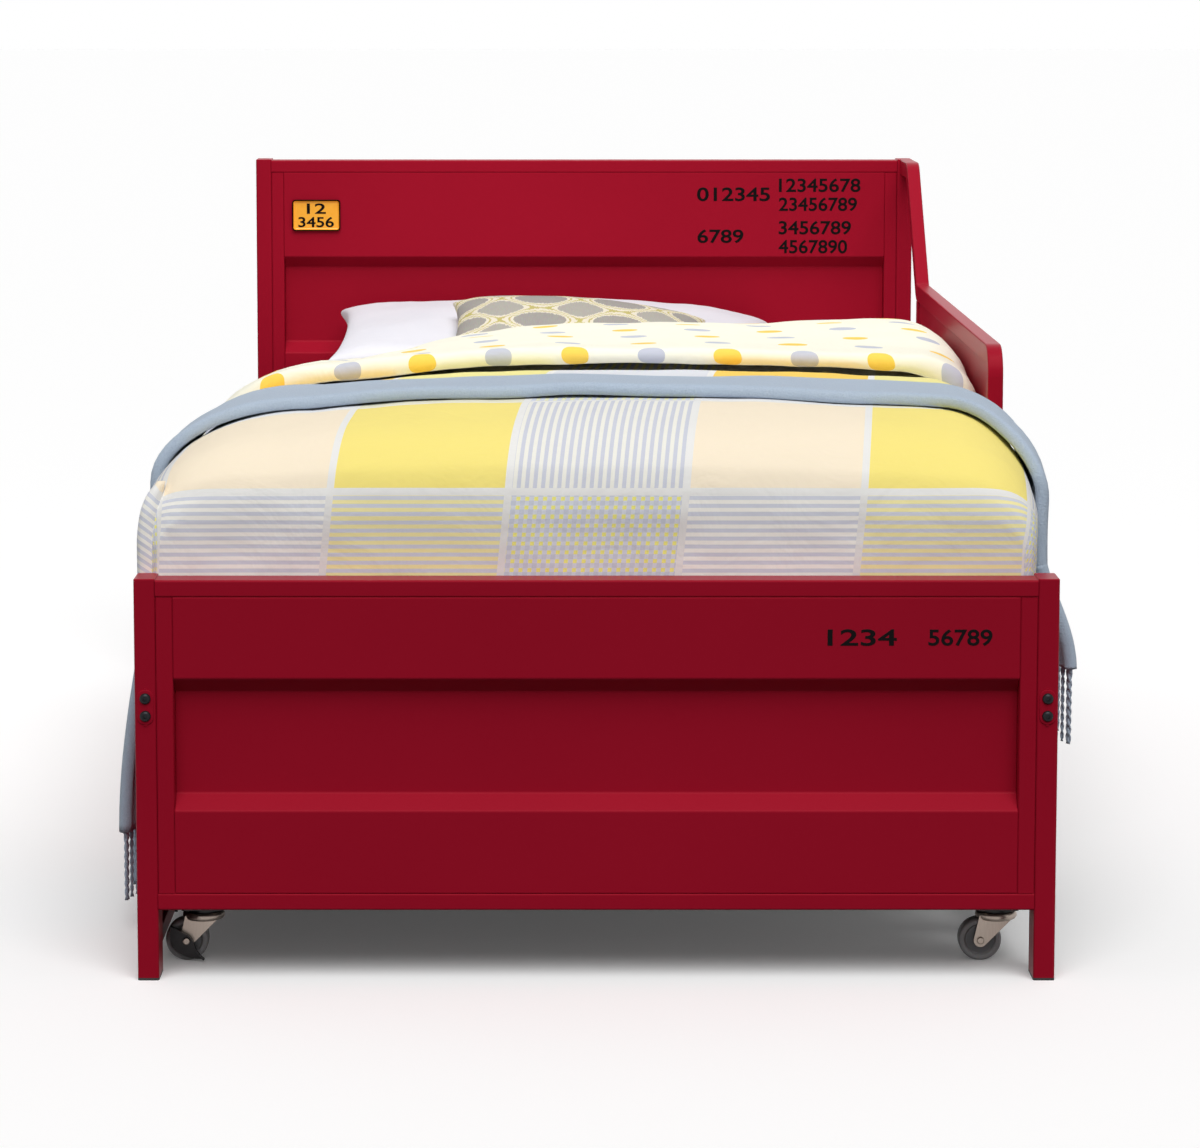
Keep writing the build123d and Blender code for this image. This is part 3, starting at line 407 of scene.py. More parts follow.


# The mattress: foam and springs in a knitted white cover with a taped edge. Only its head end shows past
# the duvet.
def woven_cotton(name, colour, shade, pitch, bump):
    """Plain-woven cotton: warp and weft at a pitch in metres, matt, with a soft sheen at grazing angles."""
    material, tree, shader, place = blank(name)
    apart = add(tree, "ShaderNodeSeparateXYZ", {0: place})
    waves = []
    for axis in ("X", "Y", "Z"):
        turn = add(tree, "ShaderNodeMath", {0: apart.outputs[axis], 1: 2 * math.pi / pitch},
                   operation="MULTIPLY")
        waves.append(add(tree, "ShaderNodeMath", {0: turn}, operation="SINE"))
    weave = add(tree, "ShaderNodeMath", {0: waves[0], 1: waves[1]}, operation="MULTIPLY")
    weave = add(tree, "ShaderNodeMath", {0: weave, 1: waves[2]}, operation="ADD")
    cloud = add(tree, "ShaderNodeTexNoise", {"Vector": place, "Scale": 14.0, "Detail": 4.0})
    tone = add(tree, "ShaderNodeMix", {0: cloud, 6: linear(shade), 7: linear(colour)}, data_type="RGBA")
    relief = add(tree, "ShaderNodeBump", {"Height": weave, "Strength": bump, "Distance": 0.0002})
    give(tree, shader, {"Base Color": tone, "Normal": relief, "Roughness": 0.85, "Specular IOR Level": 0.2,
                        "Sheen Weight": 0.1})
    return material


def soft_piece(name, points, faces, material, uvs=None):
    """A mesh object from points in metres, with the cloth's own coordinates as its UV map."""
    mesh = bpy.data.meshes.new(name)
    mesh.from_pydata([tuple(p) for p in points], [], faces)
    if uvs is not None:
        layer = mesh.uv_layers.new(name="cloth")
        for loop in mesh.loops:
            layer.data[loop.index].uv = uvs[loop.vertex_index]
    mesh.materials.append(material)
    for face in mesh.polygons:
        face.use_smooth = True
    piece = bpy.data.objects.new(name, mesh)
    scene.collection.objects.link(piece)
    return piece


def grid_faces(rows, columns):
    """The faces of a sheet of points, row after row."""
    return [(r * columns + c, r * columns + c + 1, (r + 1) * columns + c + 1, (r + 1) * columns + c)
            for r in range(rows - 1) for c in range(columns - 1)]


def select_only(piece):
    """Makes this the one selected and active object."""
    bpy.ops.object.select_all(action="DESELECT")
    piece.select_set(True)
    bpy.context.view_layer.objects.active = piece


def finish_mesh(piece):
    """Merges doubles and turns every face outwards."""
    select_only(piece)
    bpy.ops.object.mode_set(mode="EDIT")
    bpy.ops.mesh.select_all(action="SELECT")
    bpy.ops.mesh.remove_doubles(threshold=1e-6)
    bpy.ops.mesh.normals_make_consistent(inside=False)
    bpy.ops.object.mode_set(mode="OBJECT")


def apply_modifier(piece, kind, **settings):
    """Adds a modifier, sets it and applies it to the mesh."""
    select_only(piece)
    modifier = piece.modifiers.new(kind.lower(), kind)
    for name, value in settings.items():
        setattr(modifier, name, value)
    bpy.ops.object.modifier_apply(modifier=modifier.name)


# How far the foam gives under the bedding, the radii of its upright corners and its long edges, and how far
# in from its faces the middle of each tape lies.
sunk = 0.028
corner_radius = 0.07
edge_radius = 0.022
tape_inset = 0.0064


def mattress_piece():
    """The cover over the foam: a block, rounded at its upright corners and then along its edges."""
    low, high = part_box("mattress")
    high.z -= sunk
    bpy.ops.object.select_all(action="DESELECT")
    bpy.ops.mesh.primitive_cube_add(size=1)
    piece = bpy.context.object
    middle, size = (low + high) / 2, high - low
    for vertex in piece.data.vertices:
        vertex.co = [middle[i] + vertex.co[i] * size[i] for i in range(3)]
    piece.name = "mattress_cover"
    piece.data.materials.append(woven_cotton("knitted_mattress_cotton", "#f3f2ee", "#e9e8e2", 0.0016, 0.5))
    bpy.ops.object.mode_set(mode="EDIT")
    bpy.ops.mesh.select_all(action="SELECT")
    bpy.ops.mesh.subdivide(number_cuts=1)
    bpy.ops.mesh.select_all(action="DESELECT")
    bpy.ops.object.mode_set(mode="OBJECT")
    for edge in piece.data.edges:
        ends = [piece.data.vertices[index].co for index in edge.vertices]
        upright = abs(ends[0].z - ends[1].z) > size.z / 4
        edge.select = upright and all(abs(abs(ends[0][i] - middle[i]) - size[i] / 2) < 1e-4 for i in (0, 1))
    bpy.ops.object.mode_set(mode="EDIT")
    bpy.ops.mesh.bevel(offset=corner_radius, offset_pct=0, segments=6, affect="EDGES")
    bpy.ops.mesh.select_all(action="DESELECT")
    bpy.ops.object.mode_set(mode="OBJECT")
    apply_modifier(piece, "BEVEL", width=edge_radius, segments=5, limit_method="ANGLE",
                   angle_limit=math.radians(50))
    for face in piece.data.polygons:
        face.use_smooth = True
    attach(piece, "bed_frame")
    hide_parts("mattress")


def mattress_tape(name, level):
    """The tape over the seam between the cover's side and its top or bottom: a cord all the way round."""
    low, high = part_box("mattress")
    corner = 0.064
    left, right, near, far = low.x + tape_inset, high.x - tape_inset, low.y + tape_inset, high.y - tape_inset
    path = []
    for x, y, start in ((right - corner, far - corner, 0), (left + corner, far - corner, 1),
                        (left + corner, near + corner, 2), (right - corner, near + corner, 3)):
        for turn in np.linspace(start, start + 1, 8) * math.pi / 2:
            path.append((x + corner * math.cos(turn), y + corner * math.sin(turn), level, 1))
    cord = bpy.data.curves.new(name, "CURVE")
    cord.dimensions = "3D"
    # The tape shows 8 mm wide.
    cord.bevel_depth = 0.004
    cord.bevel_resolution = 2
    line = cord.splines.new("POLY")
    line.points.add(len(path) - 1)
    line.points.foreach_set("co", np.array(path).ravel())
    line.use_cyclic_u = True
    piece = bpy.data.objects.new(name, cord)
    scene.collection.objects.link(piece)
    select_only(piece)
    bpy.ops.object.convert(target="MESH")
    piece = bpy.context.object
    piece.name = name
    piece.data.materials.append(woven_cotton("ribbed_mattress_tape", "#dcdad2", "#cfccc3", 0.0012, 0.6))
    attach(piece, "bed_frame")


mattress_piece()
mattress_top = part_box("mattress")[1].z - sunk
mattress_tape("mattress_tape_top", mattress_top - tape_inset)
mattress_tape("mattress_tape_bottom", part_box("mattress")[0].z + tape_inset)


# The duvet: a light quilt in a printed cotton cover, patchwork on its face and dots on its reverse. It
# hangs over the foot end inside the footboard and over the left side, is tucked in along the guard, and
# its top is turned back over itself. Each row below is one cut across the bed: how far along it is, its
# left and right edges, its height left, middle and right, and the width and drop of each rounded side.
duvet_cuts = np.array([
    (-0.978, -0.512, 0.500, 0.541, 0.545, 0.540, 0.050, 0.045, 0.050, 0.050),
    (-0.973, -0.516, 0.508, 0.562, 0.570, 0.560, 0.075, 0.060, 0.070, 0.062),
    (-0.953, -0.527, 0.516, 0.590, 0.602, 0.588, 0.105, 0.075, 0.095, 0.078),
    (-0.905, -0.534, 0.521, 0.618, 0.632, 0.619, 0.135, 0.088, 0.110, 0.090),
    (-0.845, -0.529, 0.522, 0.632, 0.648, 0.636, 0.155, 0.090, 0.115, 0.092),
    (-0.780, -0.520, 0.522, 0.641, 0.655, 0.644, 0.175, 0.092, 0.115, 0.092),
    (-0.430, -0.518, 0.518, 0.635, 0.655, 0.646, 0.190, 0.115, 0.100, 0.080),
    (-0.345, -0.522, 0.515, 0.631, 0.651, 0.641, 0.190, 0.120, 0.092, 0.075),
    (-0.300, -0.526, 0.510, 0.624, 0.644, 0.633, 0.190, 0.130, 0.090, 0.070),
    (-0.265, -0.522, 0.503, 0.618, 0.640, 0.628, 0.190, 0.135, 0.080, 0.060),
    (0.100, -0.528, 0.503, 0.600, 0.646, 0.650, 0.220, 0.085, 0.080, 0.050),
    (0.300, -0.528, 0.503, 0.582, 0.624, 0.630, 0.210, 0.070, 0.080, 0.050),
    (0.400, -0.526, 0.503, 0.568, 0.596, 0.600, 0.190, 0.052, 0.080, 0.045),
    (0.430, -0.520, 0.500, 0.548, 0.550, 0.550, 0.150, 0.035, 0.080, 0.035),
])
# The hem's height, the size of a printed patch, and how far the print's columns lean for each metre along.
duvet_hem = 0.358
patch = 0.2074
print_skew = 0.096


def eased(where, places, values):
    """Values between places on a smooth line that never overshoots them."""
    step = np.diff(places)
    slope = np.diff(values) / step
    bend = np.zeros(len(places))
    same = slope[1:] * slope[:-1] > 0
    bend[1:-1][same] = 2 * slope[1:][same] * slope[:-1][same] / (slope[1:] + slope[:-1])[same]
    bend[0], bend[-1] = slope[0], slope[-1]
    at = np.clip(np.searchsorted(places, where) - 1, 0, len(step) - 1)
    t = (where - places[at]) / step[at]
    h = step[at]
    return (values[at] * (1 + 2 * t) * (1 - t) ** 2 + h * bend[at] * t * (1 - t) ** 2
            + values[at + 1] * t * t * (3 - 2 * t) + h * bend[at + 1] * t * t * (t - 1))


def cut_measures(cuts, y):
    """The nine measures of the cut at y."""
    places = cuts[:, 0]
    y = np.array([min(max(y, places[0]), places[-1])])
    return [float(eased(y, places, cuts[:, column])[0]) for column in range(1, 10)]


wall_points, shoulder_points, top_points = 9, 15, 66


def across(cuts, y, lift=0.0, low=duvet_hem):
    """Points across the bed at y, from the left hem over the top to the right hem, lifted off by a layer."""
    left, right, z_left, z_middle, z_right, wide_l, drop_l, wide_r, drop_r = cut_measures(cuts, y)
    left, right = left - lift, right + lift
    z_left, z_middle, z_right = z_left + lift, z_middle + lift, z_right + lift
    points = []
    for t in np.linspace(0, 1, wall_points, endpoint=False):
        points.append((left, low + t * (z_left - drop_l - low)))
    for t in np.linspace(0, math.pi / 2, shoulder_points, endpoint=False):
        points.append((left + wide_l * (1 - math.cos(t)), z_left - drop_l * (1 - math.sin(t))))
    inner_left, inner_right = left + wide_l, right - wide_r
    middle_share = -inner_left / (inner_right - inner_left)
    for t in np.linspace(0, 1, top_points):
        x = inner_left + t * (inner_right - inner_left)
        side = z_left if t < middle_share else z_right
        away = (middle_share - t) / middle_share if t < middle_share else (
            t - middle_share) / (1 - middle_share)
        points.append((x, z_middle + (side - z_middle) * away ** 2))
    for t in np.linspace(math.pi / 2, 0, shoulder_points + 1)[1:]:
        points.append((right - wide_r * (1 - math.cos(t)), z_right - drop_r * (1 - math.sin(t))))
    for t in np.linspace(1, 0, wall_points + 1)[1:]:
        points.append((right, low + t * (z_right - drop_r - low)))
    return np.array(points)


def arc_lengths(points):
    """The distance along a line of points, from its first."""
    return np.concatenate([[0], np.cumsum(np.linalg.norm(np.diff(points, axis=0), axis=1))])


def from_middle(row):
    """The distance along a cut, from where it crosses the middle of the bed."""
    run = arc_lengths(row[:, [0, 2]])
    return run - np.interp(0, row[:, 0], run)


def rumple(x, y, z, seed, size, deep):
    """A soft rise and fall of cloth, the same on every run."""
    place = Vector((x / size, y / size, z / size + seed))
    return deep * noise.noise(place, noise_basis="PERLIN_NEW")


def cloth_surface(rows, thick, seed, wrinkle):
    """Closes rows of points into a padded sheet: its outer face rumpled, its inner face a layer below."""
    rows = np.array(rows)
    normal = np.cross(np.gradient(rows, axis=0), np.gradient(rows, axis=1))
    normal /= np.linalg.norm(normal, axis=2, keepdims=True) + 1e-12
    if normal[:, rows.shape[1] // 2, 2].mean() < 0:
        normal = -normal
    outer = rows.copy()
    for index in np.ndindex(rows.shape[:2]):
        x, y, z = rows[index]
        outer[index] += normal[index] * (rumple(x, y, z, seed, 0.16, wrinkle)
                                         + rumple(x, y * 0.5, z, seed + 7, 0.05, wrinkle * 0.35))
    inner = outer - normal * thick
    return outer, inner


def closed_sheet(outer, inner, uv):
    """The points, faces and UVs of a sheet with both faces and a rim."""
    rows, columns = outer.shape[:2]
    count = rows * columns
    points = np.concatenate([outer.reshape(-1, 3), inner.reshape(-1, 3)])
    faces = grid_faces(rows, columns)
    faces += [tuple(count + i for i in reversed(face)) for face in grid_faces(rows, columns)]
    rim = ([(0, c) for c in range(columns)] + [(r, columns - 1) for r in range(1, rows)]
           + [(rows - 1, c) for c in range(columns - 2, -1, -1)] + [(r, 0) for r in range(rows - 2, 0, -1)])
    rim = [r * columns + c for r, c in rim]
    faces += [(rim[i - 1], rim[i - 1] + count, rim[i] + count, rim[i]) for i in range(len(rim))]
    uvs = np.concatenate([uv.reshape(-1, 2)] * 2)
    return points, faces, uvs


def printed(tree, ground, *inks):
    """Lays inks over a ground colour in turn, each where its share is 1."""
    for share, ink in inks:
        ground = add(tree, "ShaderNodeMix", {0: share, 6: ground, 7: ink}, data_type="RGBA")
    return ground


def slubbed(tree, cloth, colour, scale, share, detail=2.0):
    """A cloth's colour with the long lighter and darker streaks of uneven yarn."""
    drawn = add(tree, "ShaderNodeMapping", {"Vector": cloth, "Scale": scale})
    streaks = add(tree, "ShaderNodeTexNoise", {"Vector": drawn, "Scale": 1.0, "Detail": detail})
    return add(tree, "ShaderNodeMix", {0: share, 6: colour, 7: streaks.outputs["Color"]}, data_type="RGBA",
               blend_type="SOFT_LIGHT")


def threads(tree, across_cloth, along_cloth, each_unit):
    """The height of warp and weft, from the cloth's two coordinates and the threads in each unit of them."""
    waves = []
    for way in (across_cloth, along_cloth):
        turn = add(tree, "ShaderNodeMath", {0: way, 1: 2 * math.pi * each_unit}, operation="MULTIPLY")
        waves.append(add(tree, "ShaderNodeMath", {0: turn}, operation="SINE"))
    return add(tree, "ShaderNodeMath", {0: waves[0], 1: waves[1]}, operation="ADD")


def percale_relief(tree, place, weave, scale, distortion, strength, depth):
    """The relief of used bed linen: a fine weave over broad creases."""
    crease = add(tree, "ShaderNodeTexNoise", {"Vector": place, "Scale": scale, "Detail": 4.0,
                                              "Roughness": 0.62, "Distortion": distortion})
    folds = add(tree, "ShaderNodeBump", {"Height": crease, "Strength": strength, "Distance": depth})
    return add(tree, "ShaderNodeBump", {"Height": weave, "Strength": 0.25, "Distance": 0.0002,
                                        "Normal": folds})


# Percale's threads are drawn 0.8 mm apart, coarser than the real ones, so that they show.
percale_pitch = 0.0008


def patchwork_print():
    """Printed cotton percale: square patches with white bands, plain, striped and checked, woven fine."""
    material, tree, shader, place = blank("printed_cotton_percale")
    cloth = add(tree, "ShaderNodeUVMap", uv_map="cloth")
    apart = add(tree, "ShaderNodeSeparateXYZ", {0: cloth})
    column, row = apart.outputs["X"], apart.outputs["Y"]

    def one_in(count, value, number):
        """1 in the patches of every count-th row or column, from this number on."""
        whole = add(tree, "ShaderNodeMath", {0: value}, operation="FLOOR")
        kind = add(tree, "ShaderNodeMath", {0: whole, 1: count}, operation="FLOORED_MODULO")
        return add(tree, "ShaderNodeMath", {0: kind, 1: number, 2: 0.1}, operation="COMPARE")

    def stripes(value, number, share):
        """1 on stripes that fill this share of their pitch, so many to a patch."""
        counted = add(tree, "ShaderNodeMath", {0: value, 1: number}, operation="MULTIPLY")
        within = add(tree, "ShaderNodeMath", {0: counted}, operation="FRACT")
        return add(tree, "ShaderNodeMath", {0: within, 1: share}, operation="LESS_THAN")

    # Twenty-two stripes or twenty checks fill a patch of 207 mm.
    level_stripe, upright_stripe = stripes(row, 22.0, 0.5), stripes(column, 22.0, 0.5)
    level_line, upright_line = stripes(row, 20.0, 0.45), stripes(column, 20.0, 0.45)
    check = add(tree, "ShaderNodeMath", {0: level_line, 1: upright_line}, operation="MULTIPLY")
    lattice = add(tree, "ShaderNodeMath", {0: level_line, 1: upright_line}, operation="MAXIMUM")
    grey = linear("#dcdfea")
    level_cream = printed(tree, linear("#fffdf5"), (level_stripe, grey))
    level_lemon = printed(tree, linear("#fff5b4"), (level_stripe, grey))
    upright = printed(tree, linear("#f6f4ea"), (upright_stripe, linear("#d3d6e2")))
    checked = printed(tree, linear("#d6dae6"), (lattice, linear("#e3e6ee")), (check, linear("#fff98e")))
    # Three kinds of patch alternate across the bed, in rows that are patterned, plain, patterned and mixed.
    first, second = one_in(3.0, column, 0.0), one_in(3.0, column, 1.0)
    patterned = printed(tree, level_cream, (second, checked), (first, level_lemon))
    plain = printed(tree, linear("#fff0d6"), (second, upright), (first, linear("#ffec86")))
    mixed = printed(tree, linear("#ffd65e"), (second, linear("#e4e6ec")), (first, linear("#f7ee9c")))
    # The white bands between the patches are 8.5 mm wide.
    band = 0.0085 / patch
    bands = []
    for way in (column, row):
        moved = add(tree, "ShaderNodeMath", {0: way, 1: band / 2}, operation="ADD")
        bands.append(stripes(moved, 1.0, band))
    in_band = add(tree, "ShaderNodeMath", {0: bands[0], 1: bands[1]}, operation="MAXIMUM")
    colour = printed(tree, patterned, (one_in(4.0, row, 0.0), plain), (one_in(4.0, row, 2.0), mixed),
                     (in_band, linear("#f2f1ee")))
    weave = threads(tree, column, row, patch / percale_pitch)
    relief = percale_relief(tree, place, weave, 11.0, 0.6, 0.5, 0.006)
    give(tree, shader, {"Base Color": slubbed(tree, cloth, colour, (14, 160, 1), 0.1, 3.0), "Normal": relief,
                        "Roughness": 0.8, "Specular IOR Level": 0.2, "Sheen Weight": 0.08})
    return material


duvet_thick = 0.012
# The drop stands this far off the footboard, and the print's first level band lies this high on it.
foot_gap = 0.004
fold_line = 0.5685
centre_column = wall_points + shoulder_points + top_points // 2
# How far the bed's middle lies from the start of a column of patches, and how much longer than wide a patch
# measures on the bed's top.
print_start = 0.310
patch_stretch = 1.13


def cut_at(cuts, y, lift=0.0, low=duvet_hem):
    """The cut at y as points in space."""
    cut = across(cuts, y, lift, low)
    return np.column_stack([cut[:, 0], np.full(len(cut), y), cut[:, 1]])


def duvet_body():
    """The duvet's main sheet: over the top and both sides, and down inside the footboard."""
    edge = duvet_cuts[0, 0]
    places = [edge]
    # The cuts are 1.2 mm apart at the tight bend over the foot, and 15 mm apart from 120 mm on.
    while places[-1] < duvet_cuts[-1, 0] - 1e-6:
        near_foot = min(1.0, (places[-1] - edge) / 0.12)
        places.append(min(duvet_cuts[-1, 0], places[-1] + 0.0012 + 0.0138 * near_foot))
    rows = [cut_at(duvet_cuts, y) for y in places]
    for row in rows:
        row[:, 1] = np.maximum(row[:, 1], edge + foot_gap + (row[:, 1] - edge) * 0.8)
    first = rows[0].copy()
    drop = []
    for share in np.linspace(0, 1, 26)[:-1]:
        row = first.copy()
        row[:, 2] = duvet_hem + (first[:, 2] - duvet_hem) * share
        drop.append(row)
    rows = drop + rows
    centre = np.array([row[centre_column] for row in rows])
    along_bed = arc_lengths(centre)
    turn = int(np.argmax(centre[:, 2] > fold_line))
    along_bed -= along_bed[turn] - (centre[turn, 2] - fold_line)
    outer, inner = cloth_surface(rows, duvet_thick, 3.0, 0.0035)
    uv = np.zeros(outer.shape[:2] + (2,))
    for index, row in enumerate(rows):
        # The print follows the bed up to y = -0.87. Over the next 100 mm it turns level, as on the drop.
        near_foot = min(1, max(0, (-0.87 - row[0, 1]) / 0.1))
        run = along_bed[index] - (row[centre_column, 2] - row[:, 2]) * near_foot
        along_cut = from_middle(row)
        if index < len(drop):
            run = row[:, 2] - fold_line
            along_cut = from_middle(first)
        run = np.where(run > 0, run / patch_stretch, run)
        uv[index, :, 0] = (along_cut + print_start - print_skew * run) / patch
        uv[index, :, 1] = run / patch
    points, faces, uvs = closed_sheet(outer, inner, uv)
    return soft_piece("duvet_cover", points, faces, patchwork_print(), uvs)


def corner_fold(print_cotton):
    """The side's front edge, rolled back beside the drop: an upright soft fold that ends in a hook."""
    path = np.array([(-0.523, -0.959, 0.358), (-0.524, -0.958, 0.45), (-0.5235, -0.957, 0.505),
                     (-0.521, -0.955, 0.538), (-0.516, -0.951, 0.562), (-0.508, -0.944, 0.578)])
    radii = np.array([0.0125, 0.0125, 0.0125, 0.0115, 0.0085, 0.004])
    run = arc_lengths(path)
    points, uvs, count, around = [], [], 44, 18
    for at in np.linspace(0, run[-1], count):
        centre = [eased(np.array([at]), run, path[:, axis])[0] for axis in range(3)]
        wide = eased(np.array([at]), run, radii)[0]
        for corner in range(around):
            angle = corner * 2 * math.pi / around
            pinch = 1 - 0.18 * math.cos(2 * angle + 9 * at)
            points.append((centre[0] + wide * pinch * math.cos(angle), centre[1] + wide * math.sin(angle),
                           centre[2]))
            uvs.append((2.5 + wide * math.cos(angle) / patch,
                        (centre[2] - 0.567 + 0.7 * wide * math.cos(angle)) / patch))
    faces = [(r * around + c, r * around + (c + 1) % around, (r + 1) * around + (c + 1) % around,
              (r + 1) * around + c) for r in range(count - 1) for c in range(around)]
    faces += [tuple(reversed(range(around))), tuple(range((count - 1) * around, count * around))]
    return soft_piece("duvet_corner_fold", points, faces, print_cotton, uvs)


duvet = duvet_body()
fold_piece = corner_fold(duvet.data.materials[0])
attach(fold_piece, "bed_frame")
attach(duvet, "bed_frame")
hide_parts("duvet")


# The duvet's turned-back top: the same quilt folded over towards the foot, so its dotted reverse shows.
# Its near edge is a soft roll, and its far edge is the crease in front of the pillow.
fold_cuts = np.array([
    (-0.298, -0.531, 0.513, 0.654, 0.677, 0.667, 0.190, 0.144, 0.090, 0.068),
    (-0.195, -0.535, 0.513, 0.647, 0.674, 0.668, 0.200, 0.138, 0.080, 0.060),
    (-0.095, -0.538, 0.513, 0.640, 0.674, 0.674, 0.215, 0.135, 0.080, 0.055),
    (0.105, -0.538, 0.513, 0.622, 0.672, 0.678, 0.230, 0.100, 0.080, 0.050),
    (0.305, -0.538, 0.513, 0.603, 0.650, 0.660, 0.220, 0.085, 0.080, 0.050),
    (0.405, -0.535, 0.513, 0.590, 0.628, 0.636, 0.200, 0.070, 0.080, 0.050),
    (0.455, -0.526, 0.507, 0.572, 0.598, 0.604, 0.150, 0.050, 0.080, 0.045),
])
fold_thick = 0.009
roll = 0.011
dot_pitch = 0.101


def dotted_print():
    """Printed cotton percale: warm white with grey and yellow oval dots, 101 mm apart, in turn."""
    material, tree, shader, place = blank("dotted_cotton_percale")
    cloth = add(tree, "ShaderNodeUVMap", uv_map="cloth")
    apart = add(tree, "ShaderNodeSeparateXYZ", {0: cloth})
    # The columns of dots waver by up to 6 mm either way.
    wobble = add(tree, "ShaderNodeTexNoise", {"Vector": cloth, "Scale": 1.7})
    shift = add(tree, "ShaderNodeMath", {0: wobble, 1: 0.12}, operation="MULTIPLY")
    column = add(tree, "ShaderNodeMath", {0: apart.outputs["X"], 1: shift}, operation="ADD")
    row = apart.outputs["Y"]
    # A dot is 36 mm wide and 31 mm long, as shares of the pitch from its middle.
    reaches, numbers = [], []
    for way, half in ((column, 0.178), (row, 0.155)):
        within = add(tree, "ShaderNodeMath", {0: way}, operation="FRACT")
        aside = add(tree, "ShaderNodeMath", {0: within, 1: 0.5}, operation="SUBTRACT")
        share = add(tree, "ShaderNodeMath", {0: aside, 1: 1 / half}, operation="MULTIPLY")
        share = add(tree, "ShaderNodeMath", {0: share}, operation="ABSOLUTE")
        reaches.append(add(tree, "ShaderNodeMath", {0: share, 1: 2.1}, operation="POWER"))
        numbers.append(add(tree, "ShaderNodeMath", {0: way}, operation="FLOOR"))
    reach = add(tree, "ShaderNodeMath", {0: reaches[0], 1: reaches[1]}, operation="ADD")
    dot = add(tree, "ShaderNodeMath", {0: reach, 1: 1.0}, operation="LESS_THAN")
    turn = add(tree, "ShaderNodeMath", {0: numbers[0], 1: numbers[1]}, operation="ADD")
    turn = add(tree, "ShaderNodeMath", {0: turn, 1: 2.0}, operation="FLOORED_MODULO")
    odd = add(tree, "ShaderNodeMath", {0: turn, 1: 1.0, 2: 0.1}, operation="COMPARE")
    ink = printed(tree, linear("#c6c9d6"), (odd, linear("#ffd75c")))
    colour = printed(tree, linear("#fbf8e6"), (dot, ink))
    weave = threads(tree, column, row, dot_pitch / percale_pitch)
    relief = percale_relief(tree, place, weave, 9.0, 0.8, 0.6, 0.008)
    give(tree, shader, {"Base Color": slubbed(tree, cloth, colour, (7, 80, 1), 0.08), "Normal": relief,
                        "Roughness": 0.8, "Specular IOR Level": 0.2, "Sheen Weight": 0.08})
    return material


def turned_back():
    """Rows from under the near roll, over it and back to the far crease, which rounds down and under."""
    near, far = fold_cuts[0, 0], fold_cuts[-1, 0]
    rows = []
    for turn in np.linspace(-math.pi / 2, math.pi / 2, 11)[:-1]:
        row = cut_at(fold_cuts, near, roll * (math.sin(turn) - 1))
        row[:, 1] = near - roll * math.cos(turn)
        rows.append(row)
    rows += [cut_at(fold_cuts, y) for y in np.arange(near, far, 0.014)]
    for turn in np.linspace(0, math.pi / 2, 8):
        row = cut_at(fold_cuts, far, -0.024 * (1 - math.cos(turn)))
        row[:, 1] = far + 0.024 * math.sin(turn) - 0.014
        rows.append(row)
    along_bed = arc_lengths(np.array([row[centre_column] for row in rows])) - roll * math.pi / 2
    outer, inner = cloth_surface(rows, fold_thick, 11.0, 0.0045)
    uv = np.zeros(outer.shape[:2] + (2,))
    for index, row in enumerate(rows):
        uv[index, :, 0] = (from_middle(row) + 0.116 + 0.1 * along_bed[index]) / dot_pitch + 0.5
        uv[index, :, 1] = along_bed[index] / dot_pitch + 0.5
    points, faces, uvs = closed_sheet(outer, inner, uv)
    return soft_piece("duvet_turned_back", points, faces, dotted_print(), uvs)


fold = turned_back()
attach(fold, "bed_frame")


# The pillow: a plain white cotton case on a polyester filling, lying flat at the head. Its corners stand
# out as ears where the case is longer than the filling.
def pad_height(u, v, fullness):
    """How thick a stuffed form is, as a share, from its middle (0, 0) to its edges."""
    return (max(0.0, 1 - abs(u) ** 2.6) * max(0.0, 1 - abs(v) ** 2.6)) ** fullness


def pad_points(width, length, thick, draw, fullness, seed, wrinkle, ear, count=64):
    """A stuffed form lying flat: two faces that meet in a seam, drawn in between the corners."""
    shares = np.sin(np.linspace(-math.pi / 2, math.pi / 2, count))
    pleat_turns = 340
    faces = []
    for face in (1, -1):
        rows = np.zeros((count, count, 3))
        for r, v in enumerate(shares):
            for c, u in enumerate(shares):
                x = width / 2 * u * (1 - draw * (1 - v * v))
                y = length / 2 * v * (1 - draw * (1 - u * u))
                x += math.copysign(ear * abs(u * v) ** 9, u)
                y += math.copysign(ear * abs(u * v) ** 9, v)
                edge = 1 - max(abs(u), abs(v))
                ripple = rumple(x, y, face * 0.3, seed, 0.11, wrinkle) * min(1.0, edge * 5)
                # Pleats 18 mm apart run in from the seam.
                along_seam = x if abs(v) > abs(u) else y
                pleat = (1 - min(1.0, edge * 3)) * edge * math.sin(pleat_turns * along_seam)
                z = face * (thick / 2 * pad_height(u, v, fullness) + 0.0012) + ripple + pleat * 0.006
                rows[r, c] = (x, y, z)
        faces.append(rows)
    return faces


def pad_piece(name, rows, material, uv):
    """Closes the two faces of a stuffed form along its seam."""
    points, faces, uvs = closed_sheet(*rows, uv)
    piece = soft_piece(name, points, faces, material, uvs)
    apply_modifier(piece, "SUBSURF", levels=1, render_levels=1)
    for face in piece.data.polygons:
        face.use_smooth = True
    return piece


